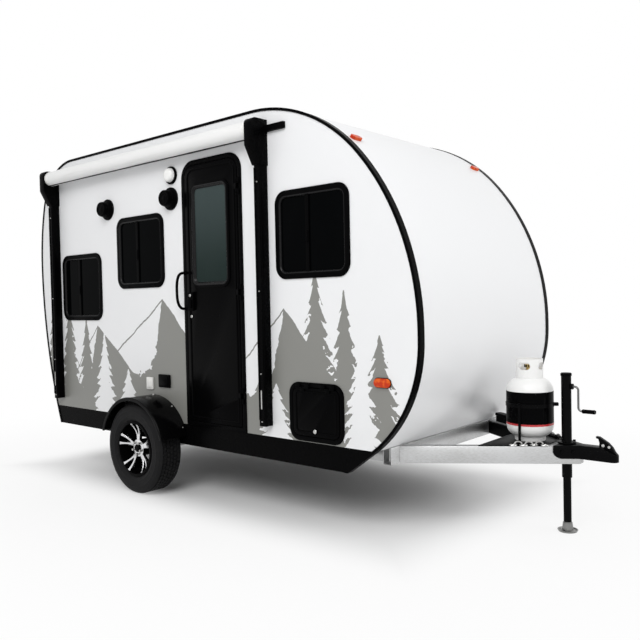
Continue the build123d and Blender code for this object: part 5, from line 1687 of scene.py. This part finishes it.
@dataclass
class Tongue:
    """Loom, chains, bolts and jack details on the A-frame."""

    loom_radius: float = 0.012
    loom_inset: float = 0.030
    loom_run: tuple[float, float] = (0.34, 0.46)
    loom_sway: float = 0.003
    rib_pitch: float = 0.006
    rib_shrink: float = 0.86
    clips: tuple[float, ...] = (0.12, 0.40, 0.68, 0.95)
    junction: tuple[float, float, float] = (0.230, 0.046, 0.060)
    junction_at: float = 0.20
    lid_from: float = 0.72
    links: int = 7
    chain_inset: float = 0.014
    chain_from: float = 0.63
    rail_tip: float = 0.024
    rail_width: float = 0.050
    trough_size: tuple[float, float] = (0.026, 0.084)
    trough_run: tuple[float, float] = (0.06, 0.58)
    flange_circle: float = 0.042
    flange_bolts: int = 3
    bolt_setbacks: tuple[float, ...] = (0.036, 0.088)
    bolt_drop: float = 0.034
    grip_length: float = 0.072
    grip_profile: Profile = (
        (0.0, -0.002), (0.010, -0.002), (0.0125, 0.002), (0.0118, 0.020), (0.0122, 0.036),
        (0.0118, 0.054), (0.0128, 0.066), (0.010, 0.074), (0.0, 0.0755),
    )
    cap_profile: Profile = (
        (0.0, -0.004), (0.0312, -0.004), (0.0318, -0.012), (0.0318, 0.001), (0.027, 0.005),
        (0.0, 0.0065),
    )
    pins: tuple[tuple[float, float, float], ...] = ((0.080, 0.011, 0.0066), (0.047, 0.006, 0.0056))
    link: Vector = field(default_factory=lambda: Vector((0.040, 0.026, 0.032)))

    def rail_line(self, side: SideOf, inset: float) -> tuple[Vector, Vector]:
        """Two points along a tongue rail's top, inset from its outer edge."""
        low, high = box(f"tongue_rail_{side.label}")
        outer, inner = (high.y, low.y) if side is SideOf.LEFT else (low.y, high.y)
        start = Vector((low.x, outer - side.value * inset, high.z))
        end = Vector((high.x, inner + side.value * (self.rail_tip - inset), high.z))
        return start, end

    def loom(self) -> None:
        """Ribbed lamp loom along the left rail, from its junction box to the coupler."""
        start, end = self.rail_line(SideOf.LEFT, self.loom_inset)
        run = end - start
        along = run.normalized()
        across = Vector((-along.y, along.x, 0.0))
        first, reach = self.loom_run
        count = int(run.length * reach / self.rib_pitch)
        path, loops = [], []
        for step in range(count + 1):
            share = first + reach * step / count
            sway = across * (self.loom_sway * math.sin(share * 22.0))
            path.append(start + run * share + UP * self.loom_radius + sway)
        for index, loop in enumerate(tube(path, self.loom_radius, 10)):
            shrink = 1.0 if index % 2 else self.rib_shrink
            loops.append([path[index] + (point - path[index]) * shrink for point in loop])
        Shape().loft(loops).piece("lamp_loom", TRAILER, (GASKET,))
        spots = [Spot(path[int(count * share)], UP, along) for share in self.clips]
        size = Vector((0.008, 2.3 * self.loom_radius, 2.0 * self.loom_radius))
        Spread(Unit.BLOCK, size).piece("loom_clips", TRAILER, PLASTIC, spots)
        self.junction_box(start + run * self.junction_at, along, across)

    def junction_box(self, place: Vector, along: Vector, across: Vector) -> None:
        """Black box with a lipped lid where the loom starts, which also stands in for the shade on the
        far rail's rear end.
        """
        length, width, height = self.junction
        seam = height * self.lid_from
        shape = Shape()
        for low, high, grow in ((0.0, seam, 0.0), (seam, height, 0.004)):
            loops = []
            for up, inset in ((low, 0.0), (high - 0.004, 0.0), (high, 0.005)):
                wider = 2 * (grow - inset)
                flat = rounded(length + wider, width + wider, 0.012 - inset, 4)
                loops.append([place + along * a + across * b + UP * up for a, b in flat])
            shape.loft(loops)
        # Partly painted shade: the black box also darkens the far rail's rear end, where shade falls.
        shape.piece("junction_box", TRAILER, (PLASTIC,))

    def chains(self) -> None:
        """Safety chain laid along the top of each rail."""
        pitch = self.link.x * 0.74
        for side in SideOf:
            start, end = self.rail_line(side, self.chain_inset)
            along = (end - start).normalized()
            beside = UP.cross(along)
            spots = []
            for step in range(self.links):
                flat = step % 2 == 0
                place = start + (end - start) * self.chain_from + along * (pitch * step)
                place += beside * (0.004 * math.sin(step * 1.9)) + UP * (0.0045 if flat else 0.0125)
                spots.append(Spot(place, UP if flat else beside, along))
            Spread(Unit.LINK, self.link).piece(f"safety_chain_{side.label}", TRAILER, ZINC, spots)

    def bolts(self) -> None:
        """Jack flange bolts and coupler bolts."""
        spots = []
        jack = centre_of("jack_leg")
        low, high = box("coupler")
        for step in range(self.flange_bolts):
            out = bearing(math.tau * step / self.flange_bolts + math.pi / 6) * self.flange_circle
            spots.append(Spot(Vector((jack.x + out.x, out.y, high.z + 0.0125)), UP, AHEAD))
        for side in SideOf:
            start, end = self.rail_line(side, 0.0)
            run = (end - start).normalized()
            out = Vector((-run.y, run.x, 0.0)) * side.value
            for setback in self.bolt_setbacks:
                share = (low.x + setback - start.x) / (end.x - start.x)
                place = start + (end - start) * share + out * 0.0085
                spots.append(Spot(Vector((place.x, place.y, high.z - self.bolt_drop)), out, UP))
        Spread(Unit.NUT, Vector((0.020, 0.020, 0.009))).piece("coupler_bolts", TRAILER, ENAMEL, spots)

    def jack(self) -> None:
        """Crank grip and tube cap."""
        low, high = box("jack_crank")
        grip = Vector((high.x - self.grip_length, (low.y + high.y) / 2, low.z + 0.011))
        shape = Shape().loft(lathe(grip, AHEAD, self.grip_profile, 24))
        leg = centre_of("jack_leg")
        top = Vector((leg.x, leg.y, box("jack_tube")[1].z))
        shape.loft(lathe(top, UP, self.cap_profile, 32))
        shape.piece("jack_grip_and_cap", TRAILER, (PLASTIC,))

    def latch_pins(self) -> None:
        """Headed pins through the coupler latch."""
        tip = box("coupler")[1]
        half = box("coupler_latch")[1].y
        shape = Shape()
        for setback, rise, radius in self.pins:
            middle = Vector((tip.x - setback, 0.0, tip.z + rise))
            head = radius + 0.0025
            top = (
                (radius, half), (head, half), (head, half + 0.003), (head - 0.001, half + 0.004),
                (0.0, half + 0.004),
            )
            profile = [*((across, -along) for across, along in reversed(top)), *top]
            shape.loft(lathe(middle, SideOf.LEFT.out, profile, 20))
        shape.piece("latch_pins", TRAILER, (ZINC,))

    def trough(self) -> None:
        """Black strip along the left rail's inner face, a dark sheet that stands in for the shade on
        that face.
        """
        start, end = self.rail_line(SideOf.LEFT, 0.0)
        run = end - start
        along = run.normalized()
        out = Vector((along.y, -along.x, 0.0))
        depth, height = self.trough_size
        face = start + out * (self.rail_width + depth / 2 - 0.001) - UP * (height / 2 + 0.008)
        flat = rounded(depth, height, 0.008, 4)
        loops = [[face + run * share + out * a + UP * b for a, b in flat] for share in self.trough_run]
        # Painted shade: the black strip darkens the rail's inner face where shade falls.
        Shape().loft(loops).piece("wiring_trough", TRAILER, (PLASTIC,))

    def build(self) -> None:
        """Make everything on the tongue."""
        self.loom()
        self.chains()
        self.bolts()
        self.jack()
        self.latch_pins()
        self.trough()


@dataclass
class GasCylinder:
    """Sleeve, hold-down and handwheel grips of the gas cylinder."""

    sleeve_bands: tuple[tuple[float, float, int], ...] = (
        (0.608, 0.614, 2), (0.614, 0.626, 1), (0.626, 0.814, 0),
    )
    sleeve_proud: float = 0.0012
    sleeve_sunk: float = 0.001
    band_low: float = 0.722
    band_high: float = 0.744
    band_gap: float = 0.0014
    band_thick: float = 0.003
    post_angles: tuple[float, ...] = (math.radians(-90.6), math.radians(89.4))
    post: tuple[float, float] = (0.016, 0.005)
    post_above: float = 0.006
    foot: float = 0.024
    lug_angle: float = math.radians(24.2)
    lug: tuple[float, float, float] = (0.026, 0.020, 0.005)
    lug_gap: float = 0.008
    bolt_profile: Profile = (
        (0.0, -0.020), (0.0075, -0.020), (0.0075, -0.0125), (0.004, -0.0125), (0.004, 0.0125),
        (0.0075, 0.0125), (0.0075, 0.019), (0.0, 0.019),
    )
    lobes: int = 14
    lobe_circle: float = 0.0275
    lobe_drop: float = 0.009
    sides: int = 96

    @property
    def radius(self) -> float:
        """The cylinder's own radius."""
        low, high = box("propane_tank")
        return (high.x - low.x) / 2

    @property
    def seat(self) -> Vector:
        """The cylinder's axis at the ground."""
        centre = centre_of("propane_tank")
        return Vector((centre.x, centre.y, 0.0))

    def sleeve(self) -> None:
        """Plain wrap: a black field over a red and a pale stripe."""
        outer, inner = self.radius + self.sleeve_proud, self.radius - self.sleeve_sunk
        shape = Shape()
        for bottom, top, mark in self.sleeve_bands:
            section = ((outer, bottom), (outer, top), (inner, top), (inner, bottom))
            shape.loft(lathe(self.seat, UP, section, self.sides), mark=mark, ring=True)
        shape.piece("cylinder_sleeve", TRAILER, (SLEEVE, STRIPE, PLATE))

    def hold_down(self) -> None:
        """Steel band with its clamp lugs, on two posts that stand on the tray."""
        inside = self.radius + self.band_gap
        outside = inside + self.band_thick
        low, high = self.band_low, self.band_high
        profile = ((inside, low), (outside, low), (outside, high), (inside, high))
        shape = Shape().loft(lathe(self.seat, UP, profile, self.sides), ring=True)
        tray = box("tank_tray")[1].z
        width, thick = self.post
        for out in map(bearing, self.post_angles):
            across = UP.cross(out)
            for top, deep in ((high + self.post_above, 0.0), (tray + thick, self.foot)):
                middle = self.seat + out * (outside + (thick + deep) / 2 - 0.0004)
                flat = rounded(width, thick + deep, 0.0012, 2)
                section = [middle + across * a + out * b for a, b in flat]
                shape.loft([[point + UP * z for point in section] for z in (tray, top)])
        out = bearing(self.lug_angle)
        across = UP.cross(out)
        reach, tall, wall = self.lug
        middle = self.seat + out * (outside + reach / 2 - 0.002) + UP * (low + high) / 2
        flat = rounded(reach, tall, 0.006, 4)
        for side in (-self.lug_gap, self.lug_gap):
            ends = (side - wall / 2, side + wall / 2)
            shape.loft([[middle + out * a + UP * b + across * c for a, b in flat] for c in ends])
        shape.loft(lathe(middle + out * 0.004, across, self.bolt_profile, 12))
        shape.piece("cylinder_hold_down", TRAILER, (ENAMEL,))

    def handwheel(self) -> None:
        """Grip lobes round the valve's handwheel."""
        middle = self.seat + UP * (box("tank_valve")[1].z - self.lobe_drop)
        spots = []
        for step in range(self.lobes):
            out = bearing(math.tau * step / self.lobes)
            spots.append(Spot(middle + out * self.lobe_circle, out, UP))
        lobe = Vector((0.016, 0.0062, 0.006))
        Spread(Unit.BLOCK, lobe).piece("handwheel_lobes", TRAILER, PLASTIC, spots)

    def build(self) -> None:
        """Make the cylinder's details."""
        self.sleeve()
        self.hold_down()
        self.handwheel()


@dataclass
class RearWall:
    """Bezels, clear lenses and screws of the rear lamps and plate."""

    lamp: tuple[float, float] = (0.150, 0.210)
    lamp_corner: float = 0.040
    bezel: float = 0.008
    clear: tuple[float, float] = (0.104, 0.046)
    clear_section: Profile = ((0.0, -0.004), (0.0, 0.001), (0.005, 0.003))
    ribs: int = 6
    rib_pitch: float = 0.010
    rib_rise: float = 0.012
    screw_inset: float = 0.022

    def flat_on_rear(self, flat: Flat, x: float, y: float, z: float) -> Loop:
        """Set a flat outline upright across the trailer."""
        return [Vector((x, y + across, z + up)) for across, up in flat]

    def lamps(self) -> None:
        """Black bezel round each lamp, a clear lens low down and a ribbed band."""
        low, high = box("tail_lamps")
        width, height = self.lamp
        z = (low.z + high.z) / 2
        shape, spots = Shape(), []
        for sign in (-1, 1):
            y = sign * (high.y - width / 2)
            loops = []
            for grow, back in ((0.0, 0.020), (self.bezel, 0.023), (self.bezel, 0.060), (0.0, 0.060)):
                wider = 2 * grow - 0.002
                flat = rounded(width + wider, height + wider, self.lamp_corner)
                loops.append(self.flat_on_rear(flat, low.x + back, y, z))
            shape.loft(loops, ring=True)
            loops = []
            for inset, out in self.clear_section:
                flat = rounded(self.clear[0] - 2 * inset, self.clear[1] - 2 * inset, 0.012)
                loops.append(self.flat_on_rear(flat, low.x - out, y, z - height / 4))
            shape.loft(loops, mark=1)
            for step in range(self.ribs):
                place = Vector((low.x - 0.0006, y, z + self.rib_rise + step * self.rib_pitch))
                spots.append(Spot(place, REARWARD, SideOf.LEFT.out))
        shape.piece("tail_lamp_bezels", TRAILER, (TRIM, OPAL))
        Spread(Unit.BLOCK, Vector((0.112, 0.004, 0.003))).piece("tail_lamp_ribs", TRAILER, RED, spots)

    def screws(self) -> None:
        """Screws at the plate's corners and on the tail lamps."""
        spots = []
        for node, inset in (("plate_holder", self.screw_inset), ("tail_lamps", self.lamp[0] / 2)):
            low, high = box(node)
            for y in (low.y + inset, high.y - inset):
                for z in (low.z + self.screw_inset, high.z - self.screw_inset):
                    spots.append(Spot(Vector((low.x - 0.0005, y, z)), REARWARD, UP))
        Spread(Unit.SCREW, Vector((0.010, 0.010, 0.004))).piece("rear_screws", TRAILER, ZINC, spots)

    def build(self) -> None:
        """Make the rear wall's details."""
        self.lamps()
        self.screws()


@dataclass
class ServiceCovers:
    """Louvres, inlet cap and flaps on the service covers."""

    louvre: tuple[float, float, float] = (-0.219, 0.800, 0.300)
    inlet: tuple[float, float, float] = (-1.239, 0.760, 0.054)
    louvres: int = 9
    louvre_pitch: float = 0.020
    louvre_way: tuple[float, float, float] = (0.0, 1.0, 0.7)
    flap_places: tuple[tuple[float, float, float, float], ...] = (
        (-0.793, 0.787, 0.050, 0.066), (-0.616, 0.813, 0.104, 0.070),
    )
    flap_section: Profile = ((0.0, -0.003), (0.0, 0.003), (0.003, 0.005))
    proud: float = 0.016

    def louvre_slats(self) -> None:
        """Slanted slats across the large cover."""
        x, z, length = self.louvre
        y = wall_y(SideOf.LEFT) + self.proud
        out = Vector(self.louvre_way).normalized()
        spots = []
        for step in range(self.louvres):
            rise = (step - (self.louvres - 1) / 2) * self.louvre_pitch
            spots.append(Spot(Vector((x, y, z + rise)), out, AHEAD))
        Spread(Unit.BLOCK, Vector((length, 0.013, 0.003))).piece("cover_louvres", TRAILER, WHITE, spots)

    def inlet_cap(self) -> None:
        """Round cap on the square cover."""
        x, z, radius = self.inlet
        seat = Vector((x, wall_y(SideOf.LEFT), z))
        proud = self.proud
        profile = (
            (0.0, 0.0), (radius, 0.0), (radius, proud + 0.006), (radius - 0.004, proud + 0.010),
            (radius * 0.72, proud + 0.010), (radius * 0.68, proud + 0.007), (0.0, proud + 0.008),
        )
        Shape().loft(lathe(seat, SideOf.LEFT.out, profile, 40)).piece("inlet_cap", TRAILER, (WHITE,))

    def flaps(self) -> None:
        """Hinged flap on each right-hand cover, in the cover's own colour."""
        shape = Shape()
        for mark, (x, z, width, height) in enumerate(self.flap_places):
            loops = []
            for inset, out in self.flap_section:
                flat = rounded(width - 2 * inset, height - 2 * inset, 0.007, 4)
                loops.append(on_wall(SideOf.RIGHT, flat, self.proud + out, x, z))
            shape.loft(loops, mark=mark)
        shape.piece("outlet_flaps", TRAILER, (WHITE, PLASTIC))

    def build(self) -> None:
        """Make every cover's details."""
        self.louvre_slats()
        self.inlet_cap()
        self.flaps()


@dataclass
class RoofVent:
    """Screwed flange round the roof vent's base and ribs on its lid."""

    screws: int = 6
    ribs: int = 5
    flange: float = 0.028

    def base_flange(self) -> None:
        """Thin flange on the roof with a row of screws along each side."""
        low, high = box("roof_vent_base")
        roof = box("roof_panel")[1].z
        half = (high.y - low.y) / 2
        middle_x = low.x + half
        wide, lap = self.flange, 0.002
        loops = []
        for grow, up in ((-lap, 0.0), (wide, 0.0), (wide, 0.003), (wide - lap, 0.005), (-lap, 0.005)):
            flat = rounded(2 * (half + grow), 2 * (half + grow), 0.020, 4)
            loops.append([Vector((middle_x + across, beside, roof + up)) for across, beside in flat])
        Shape().loft(loops, ring=True).piece("vent_flange", TRAILER, (WHITE,))
        spots = []
        for step in range(self.screws):
            run = -half + 2 * half * step / (self.screws - 1)
            for sign in (-1, 1):
                edge = sign * (half + wide / 2)
                for place in ((middle_x + run, edge), (middle_x + edge, run)):
                    spots.append(Spot(Vector((*place, roof + 0.0062)), UP, AHEAD))
        Spread(Unit.SCREW, Vector((0.009, 0.009, 0.004))).piece("vent_screws", TRAILER, ZINC, spots)

    def lid_ribs(self) -> None:
        """Ribs pressed into the lid."""
        low, high = box("roof_vent_lid")
        width = high.y - low.y
        spots = []
        for step in range(self.ribs):
            y = low.y + width * (step + 1) / (self.ribs + 1)
            spots.append(Spot(Vector(((low.x + high.x) / 2, y, high.z)), UP, AHEAD))
        rib = Vector((width * 0.72, 0.014, 0.005))
        Spread(Unit.BLOCK, rib).piece("vent_lid_ribs", "vent_lid", WHITE, spots)

    def build(self) -> None:
        """Make the vent's details."""
        self.base_flange()
        self.lid_ribs()


@dataclass(frozen=True)
class AreaLamp:
    """One square area lamp aimed at a point."""

    name: str
    place: Triple
    target: Triple
    power: float
    size: float = 5.0

    def build(self) -> None:
        """Add the lamp to the scene."""
        data = bpy.data.lights.new(self.name, "AREA")
        data.shape = "SQUARE"
        data.size = self.size
        data.energy = self.power
        lamp = bpy.data.objects.new(self.name, data)
        aim = Vector(self.target) - Vector(self.place)
        turn = aim.to_track_quat("-Z", "Y").to_matrix().to_4x4()
        lamp.matrix_world = Matrix.Translation(self.place) @ turn
        bpy.context.scene.collection.objects.link(lamp)


@dataclass
class Studio:
    """Camera, lights, floor and world."""

    eye: Vector = field(default_factory=lambda: Vector((3.690, -4.135, 1.380)))
    yaw: float = math.radians(41.10)
    pitch: float = math.radians(1.63)
    roll: float = math.radians(-1.23)
    focal_px: float = 719.4
    centre_px: tuple[float, float] = (309.9, 321.7)
    image_px: float = 640.0
    sensor_mm: float = 36.0
    shadow_reach: float = 0.22
    shadow_fade: float = 3.0
    shadow_lift: float = 0.80
    under: float = 0.3
    floor_size: float = 120.0
    sky: tuple[float, float] = (0.55, 1.0)
    lamps: tuple[AreaLamp, ...] = (
        AreaLamp("key", (3.5, -7.0, 6.5), (0.0, 0.0, 1.0), 430.0),
        AreaLamp("fill", (8.0, 2.0, 4.5), (1.0, 0.0, 1.2), 170.0),
        AreaLamp("back", (-7.0, 5.0, 5.0), (0.0, 0.0, 1.2), 260.0),
    )

    def camera(self) -> None:
        """Place the camera where the photograph was taken."""
        ahead = Vector((
            -math.sin(self.yaw) * math.cos(self.pitch),
            math.cos(self.yaw) * math.cos(self.pitch),
            -math.sin(self.pitch),
        ))
        level = Vector((math.cos(self.yaw), math.sin(self.yaw), 0.0))
        over = level.cross(ahead)
        right = math.cos(self.roll) * level + math.sin(self.roll) * over
        up = -math.sin(self.roll) * level + math.cos(self.roll) * over
        turn = Matrix((right, up, -ahead)).transposed()
        data = bpy.data.cameras.new("camera")
        data.sensor_fit = "HORIZONTAL"
        data.sensor_width = self.sensor_mm
        data.lens = self.focal_px / self.image_px * self.sensor_mm
        half = self.image_px / 2
        data.shift_x = (half - self.centre_px[0]) / self.image_px
        data.shift_y = (self.centre_px[1] - half) / self.image_px
        data.clip_end = 200.0
        camera = bpy.data.objects.new("camera", data)
        camera.matrix_world = Matrix.Translation(self.eye) @ turn.to_4x4()
        bpy.context.scene.collection.objects.link(camera)
        bpy.context.scene.camera = camera

    def floor(self) -> None:
        """Pale floor that keeps the shadow and goes to white for the camera."""
        bpy.ops.mesh.primitive_plane_add(size=self.floor_size)
        plane = bpy.context.object
        plane.name = "studio_floor"
        kit = NodeKit(bpy.data.materials.new("studio_floor"))
        kit.surface(Base_Color=(0.86, 0.86, 0.86), Roughness=0.9, Specular_IOR_Level=0.05)
        x, y, _ = kit.place()
        low, high = CAD_BOX
        front = box("front_panel")[1].x
        beyond_x = abs(x - (low[0] + front) / 2) - (front - low[0]) / 2
        beyond_y = abs(y - (low[1] + high[1]) / 2) - (high[1] - low[1]) / 2
        beyond = beyond_x.most(beyond_y)
        lift = beyond.ramp(-self.under, self.shadow_reach) * self.shadow_lift
        away = lift + beyond.ramp(0.0, self.shadow_fade) * (1 - self.shadow_lift)
        glow = kit.node("ShaderNodeEmission", {}, {"Color": (1.0, 1.0, 1.0), "Strength": 1.0})
        shaded = Sock(kit, kit.shader.outputs[0])
        both = kit.node("ShaderNodeMixShader", {}, {0: away * kit.seen(), 1: shaded, 2: glow})
        kit.feed(kit.tree.nodes["Material Output"].inputs["Surface"], both)
        plane.data.materials.append(kit.owner)

    def world(self) -> None:
        """Even sky light, plain white where the camera and reflections look at it."""
        world = bpy.data.worlds.new("studio")
        bpy.context.scene.world = world
        kit = NodeKit(world, "Background")
        kit.surface(Color=(1.0, 1.0, 1.0), Strength=kit.seen().band(*self.sky))

    def build(self) -> None:
        """Set up the whole studio."""
        bpy.context.scene.view_settings.view_transform = "Standard"
        self.camera()
        self.floor()
        self.world()
        for lamp in self.lamps:
            lamp.build()


def main() -> None:
    """Build every sub-assembly in order."""
    Studio().build()
    dress_nodes()
    for softened in SOFTENED:
        softened.build()
    Windows().build()
    EntryDoor().build()
    StorageHatch().build()
    Fittings().build()
    Awning().build()
    for side in SideOf:
        Wheel(side).build()
    Fenders().build()
    Tongue().build()
    GasCylinder().build()
    RearWall().build()
    ServiceCovers().build()
    RoofVent().build()


if __name__ == "__main__":
    main()
